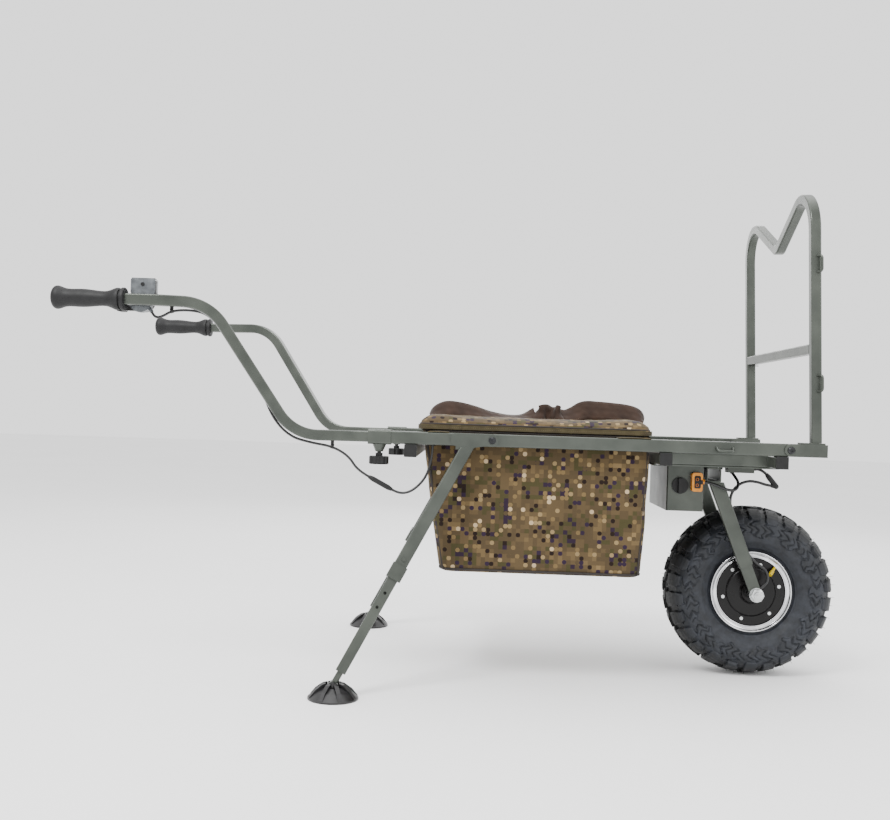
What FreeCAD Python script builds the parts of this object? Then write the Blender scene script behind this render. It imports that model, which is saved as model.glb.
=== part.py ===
"""Single-wheel powered field barrow, modelled in millimetres.

+X points to the wheel, +Y to the left of a person pushing, +Z up. The origin is on the ground,
below the middle of the bounding box. Right-hand parts lie at negative Y.
"""
import FreeCAD
import Part
import math
import os

V = FreeCAD.Vector
X, Y, Z = V(1, 0, 0), V(0, 1, 0), V(0, 0, 1)

# ---- driving dimensions ----------------------------------------------------------------
RAIL_SIZE = 25.0  # square tube of the bed
RAIL_WALL = 1.5
RAIL_Y = 249.0  # centre of each bed rail
RAIL_TOP = 501.0
RAIL_Z = RAIL_TOP - RAIL_SIZE / 2
RAIL_BOTTOM = RAIL_TOP - RAIL_SIZE
RAIL_REAR = -194.5
RAIL_INNER_Y = RAIL_Y - RAIL_SIZE / 2
RAIL_OUTER_Y = RAIL_Y + RAIL_SIZE / 2
CORNER = 3.0  # outside corner radius of the square tubes

SLIM_TUBE = 20.0  # front bar and lower legs
SLIM_WALL = 1.5

HANDLE_TUBE = 21.0
HANDLE_INSERTED = 100.0
HANDLE_LOW_BEND_X = -340.0  # where the straight runs of a handle would meet
HANDLE_TOP_BEND_X = -502.0
HANDLE_TOP_Z = 735.0
HANDLE_FLARE_X = -233.0
HANDLE_FLARE = 14.2  # degrees outwards
HANDLE_STRAIGHT_X = -600.0  # where the flare is bent back
HANDLE_BEND_RADIUS = 92.0
FLARE_RADIUS = 120.0
GRIP_REAR = -793.5
GRIP_LENGTH = 139.6
GRIP_Y = RAIL_Y + (HANDLE_FLARE_X - HANDLE_STRAIGHT_X) * math.tan(math.radians(HANDLE_FLARE))

COLLAR_SIZE = 29.0
COLLAR_LENGTH = 45.0
CLAMP_X = -172.5  # clamp screw under each handle socket
CLAMP_RADIUS = 4.0
BOSS_BOTTOM = 460.0

CROSS_TUBE_X = (-110.5, 386.5, 610.5)
SUBFRAME_Y = 185.0
TRAY_THICKNESS = 3.0
TRAY_TOP = RAIL_BOTTOM - RAIL_SIZE
TRAY_BOTTOM = TRAY_TOP - TRAY_THICKNESS

WHEEL_X = 613.5
TYRE_RADIUS = 180.0
WHEEL = V(WHEEL_X, 0, TYRE_RADIUS)
RIM_RADIUS = 86.0
RIM_HALF_WIDTH = 50.0
COVER_RADIUS = 72.4
SCREW_CIRCLE = 60.5
ROTOR_OUTER = 66.0
ROTOR_INNER = 56.0
MAGNET_INNER = 53.0
STATOR_RADIUS = 52.0
BEARING_RADIUS = 20.0
AXLE_RADIUS = 8.5
AXLE_THREAD_RADIUS = 8.0
AXLE_HALF_LENGTH = 107.0

FORK_INNER_Y = 83.0
FORK_THICKNESS = 15.0
FORK_WIDTH = 30.0
FORK_TOP_Z = 413.0
FORK_FOOT_Z = 240.0
CROWN_SIZE = 30.0
CROWN = V(516.5, 0, FORK_TOP_Z + CROWN_SIZE / 2)
DROPOUT_INNER_Y = 85.0
DROPOUT_THICKNESS = 6.0

BOX_X = (417.0, 493.0)
BOX_HALF_Y = 110.0
BOX_BOTTOM = 352.0
BOX_WALL = 2.0

LEG_PIVOT_X = 48.5
LEG_PLATE_REAR = -31.5
LEG_PLATE_THICKNESS = 4.0
LEG_TUBE = 25.0
LEG_WALL = 2.0
LEG_TOP = V(0.5, -254.0, 474.5)
FOOT_PIVOT = V(-235.0, -357.0, 26.0)
LEG_COLLAR_AT = 294.0  # along the leg, from its top
LEG_COLLAR_LENGTH = 30.0
LEG_COLLAR_SIZE = 30.0
LEG_LOWER_INSIDE = 120.0
LEG_LOWER_END = 487.0
FOOT_RADIUS = 47.5
FOOT_PIN_RADIUS = 3.0

BAR_PIVOT_X = 626.5
BAR_POST_X = 677.5
BAR_LEAN = 1.95  # degrees, backwards
BAR_HUMP_RADIUS = 70.0
BAR_HUMP_Z = 990.5
BAR_DIP_SLOPE = 25.0
BAR_DIP_RADIUS = 30.0
BAR_CROSS_Z = 688.0
BAR_FRONT = 696.5

BAG_TOP = 505.0
BAG_BOTTOM = 224.0
BAG_WALL = 4.0
LID_BOTTOM = 506.0

BOLT_RADIUS = 4.0
FIT = 0.1  # running clearance on a radius
LOOP_ROD = 2.5

LEAD_RADIUS = 2.5
# Lead from the throttle along the inside of the right handle tube, to the plug.
LEAD_UPPER = [(-610, -320, 714), (-604, -320.5, 703), (-588, -324, 706), (-570, -327, 717), (-540, -312, 721),
              (-509, -303, 716), (-480, -296, 688), (-440, -285.5, 631), (-403, -274, 574), (-381, -274.3, 520),
              (-346, -273, 484), (-305, -264, 473), (-264, -257, 467), (-231, -257, 449), (-213, -262, 422.5),
              (-190, -262, 410.5)]
# Lead from the socket to the grommet under the right rail.
LEAD_LOWER = [(-144, -262, 386.5), (-132.5, -262, 380.5), (-114, -261.5, 381), (-96, -260, 392), (-80, -257, 411),
              (-71, -252.5, 436), (-68, -249.5, 459), (-67.5, -249, 476)]
PLUG_SPAN = (V(*LEAD_UPPER[-1]), V(*LEAD_LOWER[0]))
MOTOR_LEAD_RADIUS = 3.0
# Lead from the axle up the inside of the right fork leg and round to the angled plug.
MOTOR_LEAD = [(622, -76, 188.5), (636, -76, 199), (642, -76.5, 216), (634, -77, 233), (616, -77, 243),
              (597, -76.8, 262), (577, -77, 299), (563, -77, 334), (556, -78, 364), (556, -81, 388), (568, -84, 408),
              (589, -86, 418), (611, -88, 416), (625, -90.5, 411), (637, -93, 409.5)]
PLUG_ELBOW = V(646.3, -94.94, 408.34)  # in line with the last run of the motor lead
# Lead from the angled plug to the cable duct.
CONTROLLER_LEAD = [(626.5, -88, 434), (618, -84.5, 440.5), (610, -81, 443), (601.5, -78, 441)]
BATTERY_LEAD_RADIUS = 3.0
# Lead from the battery connector past the front of the fork to the duct.
BATTERY_LEAD = [(492.5, -119, 414), (511, -121, 411), (532, -120, 402), (552, -114, 397), (565, -104, 403),
                (568, -94, 416), (562, -84, 427), (558, -78, 434)]
DUCT = ((546.6, 601.5), (-90.0, -62.0), (434.0, TRAY_BOTTOM))


# ---- helpers ---------------------------------------------------------------------------
def box(x, y, z):
    """A box from three (low, high) pairs."""
    return Part.makeBox(x[1] - x[0], y[1] - y[0], z[1] - z[0], V(x[0], y[0], z[0]))


def rod(start, end, radius):
    """A round bar between two points."""
    return Part.makeCylinder(radius, (end - start).Length, start, end - start)


def y_rod(x, z, y0, y1, radius):
    """A round bar along Y."""
    return rod(V(x, y0, z), V(x, y1, z), radius)


def ring(x, z, y0, y1, outer, inner):
    """A round ring about an axis along Y."""
    return y_rod(x, z, y0, y1, outer).cut(y_rod(x, z, y0 - 1, y1 + 1, inner))


def mirrored(shape):
    """The same part on the other side of the barrow."""
    return shape.mirror(V(0, 0, 0), Y)


def both(shape):
    """A group of the part and its mirror image."""
    return Part.makeCompound([shape, mirrored(shape)])


def group(*shapes):
    """Separate solids in one node."""
    return Part.makeCompound([solid for shape in shapes for solid in shape.Solids])


def fused(first, *others):
    """One clean solid from several that touch or overlap."""
    return first.multiFuse(list(others)).removeSplitter()


def rounded_wire(centre, side, up, width, height, corner):
    """A rectangle with round corners, across the two directions."""
    w, h = width / 2, height / 2

    def at(a, b):
        return centre + side * a + up * b

    edges = []
    for turn in range(4):
        sx, sy = ((1, 1), (-1, 1), (-1, -1), (1, -1))[turn]
        ends = [at(sx * w, sy * (h - corner)), at(sx * (w - corner), sy * h)]
        if sx * sy < 0:
            ends.reverse()
        bulge = at(sx * (w - corner * (1 - math.sqrt(0.5))), sy * (h - corner * (1 - math.sqrt(0.5))))
        edges.append((ends[0], bulge, ends[1]))
    shapes = []
    for this, following in zip(edges, edges[1:] + edges[:1]):
        shapes.append(Part.Arc(*this).toShape())
        shapes.append(Part.makeLine(this[2], following[0]))
    return Part.Wire(shapes)


def tube_face(centre, side, up, size, wall, corner=CORNER):
    """The cut end of a square tube."""
    outer = Part.Face(rounded_wire(centre, side, up, size, size, corner))
    hollow = size - 2 * wall
    return outer.cut(Part.Face(rounded_wire(centre, side, up, hollow, hollow, corner - wall / 2)))


def square_tube(start, end, up, size, wall):
    """A straight square tube. One of its sides faces along up."""
    along = (end - start).normalize()
    side = along.cross(up).normalize()
    return tube_face(start, side, side.cross(along), size, wall).extrude(end - start)


def bent_tube(start, heading, up, size, wall, steps):
    """A square tube that follows steps: ("run", length), or ("up" or "side", degrees, radius) for a bend."""
    at, heading, up = V(start), V(heading), V(up)
    pieces = []
    for step in steps:
        side = heading.cross(up)
        face = tube_face(at, side, up, size, wall)
        if step[0] == "run":
            pieces.append(face.extrude(heading * step[1]))
            at = at + heading * step[1]
            continue
        kind, angle, radius = step
        towards = (up if kind == "up" else side) * math.copysign(1, angle)
        axis = heading.cross(towards)
        centre = at + towards * radius
        pieces.append(face.revolve(centre, axis, abs(angle)))
        turn = FreeCAD.Rotation(axis, abs(angle))
        at = centre + turn.multVec(at - centre)
        heading, up = turn.multVec(heading), turn.multVec(up)
    return pieces[0].multiFuse(pieces[1:])


def turned(points, centre):
    """A solid of revolution about the line along Y through centre, from (radius, y) points.

    A point may be a triple (radius, y, "arc"): it is then the middle of an arc.
    """
    def at(p):
        return V(centre.x + p[0], p[1], centre.z)

    edges, i, count = [], 0, len(points)
    while i < count:
        here, after = points[i], points[(i + 1) % count]
        if len(after) == 3:
            edges.append(Part.Arc(at(here), at(after), at(points[(i + 2) % count])).toShape())
            i += 2
        else:
            edges.append(Part.makeLine(at(here), at(after)))
            i += 1
    return Part.Face(Part.Wire(edges)).revolve(V(centre.x, 0, centre.z), Y, 360)


def cord_path(points):
    """Straight runs joined by tangent arcs as large as the runs allow, and the arcs' radii."""
    points = [V(*p) for p in points]
    edges, at, radii = [], points[0], []
    for before, corner, after in zip(points, points[1:], points[2:]):
        back, ahead = before - corner, after - corner
        reach = 0.45 * min(back.Length, ahead.Length)
        half_turn = (math.pi - back.getAngle(ahead)) / 2
        bend = reach / math.tan(half_turn)
        back.normalize()
        ahead.normalize()
        start, end = corner + back * reach, corner + ahead * reach
        middle = corner + (back + ahead).normalize() * (bend / math.cos(half_turn) - bend)
        edges.append(Part.LineSegment(at, start).toShape())
        edges.append(Part.Arc(start, middle, end).toShape())
        at = end
        radii.append(bend)
    edges.append(Part.LineSegment(at, points[-1]).toShape())
    return Part.Wire(edges), radii


def cord_tube(name, points, radius):
    """The solid of a cord, with its length, volume and radii printed."""
    path, radii = cord_path(points)
    first, second = V(*points[0]), V(*points[1])
    profile = Part.Wire([Part.Circle(first, second - first, radius).toShape()])
    tube = path.makePipeShell([profile], True, False)
    ratio = tube.Volume / (math.pi * radius**2 * path.Length)
    print(f"{name}: length {path.Length:.1f}, volume ratio {ratio:.4f}, least radius {min(radii):.1f},",
          "radii", [round(r) for r in radii])
    return tube


def hexagon(centre, across_flats, y0, y1):
    """A hexagonal nut blank along Y."""
    corner = across_flats / math.sqrt(3)
    points = [centre + V(corner * math.cos(math.radians(60 * k)), 0, corner * math.sin(math.radians(60 * k)))
              for k in range(7)]
    face = Part.Face(Part.makePolygon(points))
    face.translate(V(0, y0 - centre.y, 0))
    return face.extrude(V(0, y1 - y0, 0))


def star_knob(x, y, bottom, height, radius, lobes):
    """A hand knob about a vertical axis."""
    body = Part.makeCylinder(radius, height, V(x, y, bottom))
    body = body.makeChamfer(1.5, [e for e in body.Edges if abs(e.Length - 2 * math.pi * radius) < 0.01])
    for k in range(lobes):
        angle = 2 * math.pi * k / lobes
        at = V(x + (radius + 2.5) * math.cos(angle), y + (radius + 2.5) * math.sin(angle), bottom - 1)
        body = body.cut(Part.makeCylinder(5.0, height + 2, at))
    return body


def tie_loop(centre, along, out, reach=14.0, span=36.0):
    """A bent rod eye that stands out of a face."""
    half = span / 2 - LOOP_ROD
    foot_a, foot_b = centre - along * half, centre + along * half
    bend = 6.0
    lift = out * (reach - bend - LOOP_ROD)
    diagonal = math.sqrt(0.5)
    edges = [Part.makeLine(foot_a, foot_a + lift)]
    middle_a = foot_a + lift + out * (bend * diagonal) + along * (bend * (1 - diagonal))
    edges.append(Part.Arc(foot_a + lift, middle_a, foot_a + lift + out * bend + along * bend).toShape())
    edges.append(Part.makeLine(foot_a + lift + out * bend + along * bend, foot_b + lift + out * bend - along * bend))
    middle_b = foot_b + lift + out * (bend * diagonal) - along * (bend * (1 - diagonal))
    edges.append(Part.Arc(foot_b + lift + out * bend - along * bend, middle_b, foot_b + lift).toShape())
    edges.append(Part.makeLine(foot_b + lift, foot_b))
    profile = Part.Wire([Part.Circle(foot_a, out, LOOP_ROD).toShape()])
    return Part.Wire(edges).makePipeShell([profile], True, False)


# ---- bed frame -------------------------------------------------------------------------
def rail():
    """Right bed rail, a square tube that is open at the rear for the handle."""
    end = BAR_PIVOT_X + 9.0
    body = square_tube(V(RAIL_REAR, -RAIL_Y, RAIL_Z), V(end, -RAIL_Y, RAIL_Z), Z, RAIL_SIZE, RAIL_WALL)
    for x in (BAR_PIVOT_X, LEG_PIVOT_X):
        body = body.cut(y_rod(x, RAIL_Z, -RAIL_OUTER_Y - 1, -RAIL_INNER_Y + 1, BOLT_RADIUS + FIT))
    body = body.cut(Part.makeCylinder(CLAMP_RADIUS + FIT, 6, V(CLAMP_X, -RAIL_Y, RAIL_BOTTOM - 2)))
    grommet = V(LEAD_LOWER[-1][0], LEAD_LOWER[-1][1], RAIL_BOTTOM - 2)
    return body.cut(Part.makeCylinder(LEAD_RADIUS + 1.5, 6, grommet))


def socket_collars():
    """Welded collar round each rail's rear end, with the tapered boss of the clamp screw."""
    half = COLLAR_SIZE / 2
    x = (RAIL_REAR, RAIL_REAR + COLLAR_LENGTH)
    around = Part.Face(rounded_wire(V(x[0], -RAIL_Y, RAIL_Z), Y, Z, COLLAR_SIZE, COLLAR_SIZE, 5.0))
    collar = around.extrude(X * COLLAR_LENGTH)
    seat = Part.Face(rounded_wire(V(x[0] - 1, -RAIL_Y, RAIL_Z), Y, Z, RAIL_SIZE, RAIL_SIZE, CORNER))
    collar = collar.cut(seat.extrude(X * (COLLAR_LENGTH + 2)))
    top = RAIL_Z - half + 1.0
    boss = Part.makeCone(7.5, 14.0, top - BOSS_BOTTOM, V(CLAMP_X, -RAIL_Y, BOSS_BOTTOM))
    boss = boss.common(box((x[0], x[1]), (-RAIL_Y - half, -RAIL_Y + half), (BOSS_BOTTOM, RAIL_BOTTOM)))
    collar = fused(collar, boss)
    collar = collar.cut(Part.makeCylinder(CLAMP_RADIUS + FIT, 30, V(CLAMP_X, -RAIL_Y, BOSS_BOTTOM - 5)))
    return both(collar)


def cross_tubes():
    """Three square tubes under the rails."""
    z = RAIL_BOTTOM - RAIL_SIZE / 2
    return group(*[square_tube(V(x, -RAIL_OUTER_Y, z), V(x, RAIL_OUTER_Y, z), Z, RAIL_SIZE, RAIL_WALL)
                   for x in CROSS_TUBE_X])


def cross_tube_caps():
    """Moulded caps in the ends of the cross tubes."""
    half = RAIL_SIZE / 2 - 0.3
    z = RAIL_BOTTOM - RAIL_SIZE / 2
    return group(*[both(box((x - half, x + half), (-RAIL_OUTER_Y - 2.5, -RAIL_OUTER_Y), (z - half, z + half)))
                   for x in CROSS_TUBE_X])


def subframe_rails():
    """Two tubes along the barrow between the middle and front cross tubes."""
    z = RAIL_BOTTOM - RAIL_SIZE / 2
    x = (CROSS_TUBE_X[1] + RAIL_SIZE / 2, CROSS_TUBE_X[2] - RAIL_SIZE / 2)
    return both(square_tube(V(x[0], -SUBFRAME_Y, z), V(x[1], -SUBFRAME_Y, z), Z, RAIL_SIZE, RAIL_WALL))


def crown_bolt_places():
    """The four bolts that hold the fork crown to the tray."""
    return [(CROWN.x + dx, y) for dx in (-12.0, 22.0) for y in (-60.0, 60.0)]


def equipment_tray():
    """Sheet tray under the subframe that carries the fork, the battery box and the controller."""
    x = (CROSS_TUBE_X[1] - RAIL_SIZE / 2, CROSS_TUBE_X[2] + RAIL_SIZE / 2)
    y = SUBFRAME_Y + RAIL_SIZE / 2
    tray = box(x, (-y, y), (TRAY_BOTTOM, TRAY_TOP))
    for bx, by in crown_bolt_places():
        tray = tray.cut(Part.makeCylinder(BOLT_RADIUS + FIT, 20, V(bx, by, TRAY_BOTTOM - 5)))
    entries = [boss(list(reversed(BATTERY_LEAD)), BATTERY_LEAD_RADIUS, 8.0),
               boss(list(reversed(CONTROLLER_LEAD)), MOTOR_LEAD_RADIUS, 8.0)]
    tray = fused(tray, box(*DUCT), *entries)
    return tray.cut(lead_room(list(reversed(BATTERY_LEAD)))).cut(lead_room(list(reversed(CONTROLLER_LEAD))))


def rail_tie_loops():
    """A bent rod eye on the outside of each rail, turned down a little."""
    tilt = math.radians(35)
    out = V(0, -math.cos(tilt), -math.sin(tilt))
    loop = tie_loop(V(499.5, -RAIL_OUTER_Y + 2.0, RAIL_Z + 3.0), X, out, reach=17.0)
    keep = box((450, 550), (-RAIL_OUTER_Y - 40, -RAIL_OUTER_Y), (RAIL_Z - 40, RAIL_Z + 40))
    return both(loop.common(keep))


# ---- fork, wheel and motor -------------------------------------------------------------
def fork_direction():
    """Unit vector down a fork leg, from the crown to the axle."""
    return (WHEEL - V(CROWN.x, 0, CROWN.z)).normalize()


def fork_crown():
    """Crown tube with the plate that bolts to the tray and a gusset."""
    end = FORK_INNER_Y + FORK_THICKNESS
    tube = square_tube(V(CROWN.x, -end, CROWN.z), V(CROWN.x, end, CROWN.z), Z, CROWN_SIZE, 2.5)
    top = CROWN.z + CROWN_SIZE / 2
    plate = box((CROWN.x - 20, CROWN.x + 30), (-75, 75), (top, TRAY_BOTTOM))
    for bx, by in crown_bolt_places():
        plate = plate.cut(Part.makeCylinder(BOLT_RADIUS + FIT, 20, V(bx, by, top - 5)))
    crown = fused(tube, plate)
    for bx, by in crown_bolt_places():
        crown = crown.cut(Part.makeCylinder(BOLT_RADIUS + 3.5, 11, V(bx, by, top - 11)))
    return crown


def fork_legs():
    """Flat-sided leg tubes, and the dropout plates in their lower ends, as separate solids."""
    down = fork_direction()
    across = V(-down.z, 0, down.x)
    middle_y = -(FORK_INNER_Y + FORK_THICKNESS / 2)

    def point(z, y=middle_y):
        return V(CROWN.x + (z - CROWN.z) * down.x / down.z, y, z)

    start, end = point(FORK_TOP_Z + 20), point(FORK_FOOT_Z)
    outer = Part.Face(rounded_wire(start, across, Y, FORK_WIDTH, FORK_THICKNESS, 4.0)).extrude(end - start)
    inner = Part.Face(rounded_wire(start, across, Y, FORK_WIDTH - 4, FORK_THICKNESS - 4, 2.0)).extrude(end - start)
    leg = outer.cut(inner).common(box((350, 750), (-120, 0), (0, FORK_TOP_Z)))
    lug_top = point(FORK_FOOT_Z, -DROPOUT_INNER_Y)
    half = FORK_WIDTH / 2 - 2.2
    corners = [lug_top + across * half - down * 25, lug_top - across * half - down * 25,
               V(WHEEL.x, lug_top.y, WHEEL.z) - across * 12, V(WHEEL.x, lug_top.y, WHEEL.z) + across * 12]
    lug = Part.Face(Part.makePolygon(corners + corners[:1])).extrude(Y * -DROPOUT_THICKNESS)
    lug = fused(lug, y_rod(WHEEL.x, WHEEL.z, -DROPOUT_INNER_Y - DROPOUT_THICKNESS, -DROPOUT_INNER_Y, 14.0))
    lug = lug.cut(y_rod(WHEEL.x, WHEEL.z, -120, -60, AXLE_THREAD_RADIUS + 0.05))
    return group(both(leg), both(lug))


def axle():
    """Fixed wheel axle with its threaded ends, its two spacers and the inner races of the bearings."""
    shaft = y_rod(WHEEL.x, WHEEL.z, -54.2, 54.2, AXLE_RADIUS)
    shaft = fused(shaft, y_rod(WHEEL.x, WHEEL.z, -AXLE_HALF_LENGTH, AXLE_HALF_LENGTH, AXLE_THREAD_RADIUS))
    spacer = ring(WHEEL.x, WHEEL.z, -DROPOUT_INNER_Y, -54.4, 11.5, AXLE_THREAD_RADIUS + 0.05)
    exit_boss = boss(MOTOR_LEAD, MOTOR_LEAD_RADIUS, 6.0)
    exit_boss = exit_boss.cut(y_rod(WHEEL.x, WHEEL.z, -120, 0, AXLE_THREAD_RADIUS + 0.05))
    race = ring(WHEEL.x, WHEEL.z, -54.0, -42.0, 11.5, AXLE_RADIUS + 0.02)
    return group(shaft, fused(spacer, exit_boss), mirrored(spacer), both(race))


def axle_nuts():
    """Zinc-plated nuts with their washers."""
    face = -(DROPOUT_INNER_Y + DROPOUT_THICKNESS)
    washer = ring(WHEEL.x, WHEEL.z, face - 2.5, face, 15.0, AXLE_THREAD_RADIUS + 0.05)
    nut = hexagon(WHEEL, 24.0, face - 12.5, face - 2.5)
    nut = nut.common(turned([(0, face - 2.5), (13.6, face - 2.5), (13.6, face - 11.5), (11.8, face - 12.5),
                             (0, face - 12.5)], WHEEL))
    nut = nut.cut(y_rod(WHEEL.x, WHEEL.z, -120, -60, AXLE_THREAD_RADIUS + 0.05))
    return group(both(washer), both(nut))


def stator_core():
    """Laminated stator with its teeth."""
    teeth = 18
    core = ring(WHEEL.x, WHEEL.z, -14, 14, 34.0, AXLE_RADIUS + 0.05)
    parts = []
    for k in range(teeth):
        angle = 360.0 * k / teeth
        tooth = box((WHEEL.x + 32, WHEEL.x + 50), (-14, 14), (WHEEL.z - 2, WHEEL.z + 2))
        shoe = ring(WHEEL.x, WHEEL.z, -14, 14, STATOR_RADIUS, 49.0)
        shoe = shoe.common(box((WHEEL.x + 40, WHEEL.x + 60), (-15, 15), (WHEEL.z - 7, WHEEL.z + 7)))
        for piece in (tooth, shoe):
            piece.rotate(WHEEL, Y, angle)
            parts.append(piece)
    return fused(core, *parts)


def stator_windings():
    """One copper coil round each stator tooth."""
    coils = []
    for k in range(18):
        coil = box((WHEEL.x + 36, WHEEL.x + 48), (-20, 20), (WHEEL.z - 5, WHEEL.z + 5))
        coil = coil.cut(box((WHEEL.x + 30, WHEEL.x + 60), (-14.1, 14.1), (WHEEL.z - 2.1, WHEEL.z + 2.1)))
        coil.rotate(WHEEL, Y, 20.0 * k)
        coils.append(coil)
    return group(*coils)


def rotor():
    """Iron ring of the motor with its magnets."""
    iron = ring(WHEEL.x, WHEEL.z, -37.9, 37.9, ROTOR_OUTER - 0.05, ROTOR_INNER)
    for x, z in cover_screw_places():
        iron = iron.cut(y_rod(x, z, -40, -26, 2.1)).cut(y_rod(x, z, 26, 40, 2.1))
    band = ring(WHEEL.x, WHEEL.z, -16, 16, ROTOR_INNER - 0.02, MAGNET_INNER)
    magnets = []
    for k in range(20):
        slot = box((WHEEL.x + 50, WHEEL.x + 60), (-17, 17), (WHEEL.z - 7, WHEEL.z + 7))
        magnet = band.common(slot)
        magnet.rotate(WHEEL, Y, 18.0 * k)
        magnets.append(magnet)
    return group(iron, *magnets)


def rim():
    """Cast rim, which is also the shell of the hub motor."""
    half = RIM_HALF_WIDTH
    side = [(ROTOR_OUTER, 0), (ROTOR_OUTER, 38), (72.5, 38), (72.5, half - 1), (73.5, half), (RIM_RADIUS - 1, half),
            (RIM_RADIUS, half - 1), (RIM_RADIUS, half - 3), (78.5, 45.2), (76.3, 44), (76.3, 28), (74.5, 22), (74.5, 0)]
    other = [(r, -y) for r, y in reversed(side)]
    return turned(side + other[1:-1], WHEEL)


def tyre():
    """Low-pressure tubeless tyre, as its plain outer shape over the lugs."""
    outer = [(76.4, 30), (76.4, 43.9), (78.6, 45), (87.5, 45), (106, 60, "arc"), (130, 66), (150, 63.5, "arc"),
             (165, 54), (172, 40, "arc"), (176.6, 25)]
    lining = [(84, 30), (90, 38), (112, 54, "arc"), (138, 56), (157, 45, "arc"), (167, 24)]
    points = outer + [(TYRE_RADIUS, 0, "arc")] + [other_side(p) for p in reversed(outer)]
    points += [other_side(p) for p in lining] + list(reversed(lining))
    return turned(points, WHEEL)


def other_side(p):
    """The same profile point on the other side of the wheel."""
    return (p[0], -p[1]) + tuple(p[2:])


def cover_screw_places():
    """Six screws on a circle."""
    places = []
    for k in range(6):
        angle = math.radians(12 + 60 * k)
        places.append((WHEEL.x + SCREW_CIRCLE * math.cos(angle), WHEEL.z + SCREW_CIRCLE * math.sin(angle)))
    return places


def wheel_covers():
    """The two side covers of the hub motor, each with its bearing seat."""
    profile = [(12.6, 54.1), (BEARING_RADIUS, 54.1), (BEARING_RADIUS, 41.5), (24, 41.5), (24, 38),
               (COVER_RADIUS, 38), (COVER_RADIUS, 43), (71.4, 44), (53.5, 44), (51, 46.5), (49.5, 47.5),
               (26, 49), (23, 52), (22, 57), (21, 58), (12.6, 58)]
    cover = turned([(r, -y) for r, y in profile], WHEEL)
    for x, z in cover_screw_places():
        cover = cover.cut(y_rod(x, z, -50, -30, 2.1))
    return both(cover)


def cover_screws():
    """Pan-head screws of the side covers."""
    screws = []
    for x, z in cover_screw_places():
        screws.append(fused(y_rod(x, z, -46.2, -44, 3.6), y_rod(x, z, -44, -28, 2.0)))
    return group(*[both(s) for s in screws])


def wheel_bearings():
    """Outer races and balls of the wheel bearings."""
    race = ring(WHEEL.x, WHEEL.z, -54.0, -42.0, BEARING_RADIUS - 0.02, 17.0)
    balls = []
    for k in range(9):
        angle = 2 * math.pi * k / 9
        at = V(WHEEL.x + 14.25 * math.cos(angle), -48.0, WHEEL.z + 14.25 * math.sin(angle))
        balls.append(Part.makeSphere(2.6, at))
    return group(both(race), *[both(b) for b in balls])


def valve():
    """Valve stem and cap, which lean out of the rim."""
    angle = math.radians(48)
    radial = V(math.cos(angle), 0, math.sin(angle))
    lean = (radial * -0.83 + Y * -0.56).normalize()
    foot = WHEEL + radial * 72.0 + Y * -49.0
    stem = rod(foot, foot + lean * 12, 2.8).common(box((450, 750), (-80, -44.1), (0, 400)))
    stem = stem.common(y_rod(WHEEL.x, WHEEL.z, -80, -40, 72.3))
    cap = rod(foot + lean * 12, foot + lean * 24, 4.2)
    return group(stem, cap)


# ---- power -----------------------------------------------------------------------------
def battery_box():
    """Folded sheet box under the tray."""
    z = (BOX_BOTTOM, TRAY_BOTTOM)
    outer = box(BOX_X, (-BOX_HALF_Y, BOX_HALF_Y), z)
    upright = [e for e in outer.Edges if abs(e.Length - (z[1] - z[0])) < 0.01]
    outer = outer.makeFillet(3.0, upright)
    hollow = box((BOX_X[0] + BOX_WALL, BOX_X[1] - BOX_WALL), (-BOX_HALF_Y + BOX_WALL, BOX_HALF_Y - BOX_WALL),
                 (z[0] + BOX_WALL, z[1] + 1))
    return outer.cut(hollow)


def battery_pack():
    """Rows of round cells in their wrap, as one block with its management board on top."""
    gap = 3.0
    x = (BOX_X[0] + gap, BOX_X[1] - gap)
    y = BOX_HALF_Y - BOX_WALL - gap
    block = box(x, (-y, y), (BOX_BOTTOM + gap, TRAY_BOTTOM - 16))
    block = block.makeFillet(6.0, [e for e in block.Edges if abs(e.Length - 2 * y) < 0.01])
    board = box((x[0] + 8, x[1] - 8), (-y + 20, y - 20), (TRAY_BOTTOM - 16, TRAY_BOTTOM - 12))
    return group(block, board)


def motor_controller():
    """Finned controller on top of the tray."""
    body = box((421.5, 511.5), (-45.0, 45.0), (TRAY_TOP, TRAY_TOP + 14))
    fins = [box((421.5, 511.5), (y - 1.5, y + 1.5), (TRAY_TOP + 14, TRAY_TOP + 22)) for y in range(-42, 43, 7)]
    return fused(body, *fins)


def power_connector():
    """Two-pole lead connector in the battery box's right face."""
    face = -BOX_HALF_Y
    body = box((465.5, 487.5), (face - 16, face), (394.0, 433.0))
    body = body.makeFillet(5.0, [e for e in body.Edges if abs(e.Length - 16) < 0.01])
    return fused(body, boss(BATTERY_LEAD, BATTERY_LEAD_RADIUS + 0.7, 11.0))


def charge_port():
    """Round charging socket with its rubber cap and finger tab."""
    face = -BOX_HALF_Y
    cap = y_rod(444.0, 405.0, face - 4, face, 17.0)
    tab = box((439.0, 447.0), (face - 12, face - 4), (388.0, 422.0))
    tab = tab.makeFillet(2.5, [e for e in tab.Edges if abs(e.Length - 8) < 0.01])
    return fused(cap, tab)


def lead_half(start, end, front):
    """One half of the inline connector: a tapered sleeve."""
    taper = Part.makeCone(LEAD_RADIUS + 0.8, 5.0, 9.0, start, end - start)
    along = (end - start).normalize()
    sleeve = rod(start + along * 9.0, end, 5.0)
    return fused(taper, sleeve) if front else fused(sleeve, taper)


def lead_plug():
    """Plug half, on the handle's lead."""
    start, end = PLUG_SPAN
    return lead_half(start, start + (end - start) * 0.5, True)


def lead_socket():
    """Socket half, on the frame's lead."""
    start, end = PLUG_SPAN
    return lead_half(end, start + (end - start) * 0.5, False)


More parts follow.
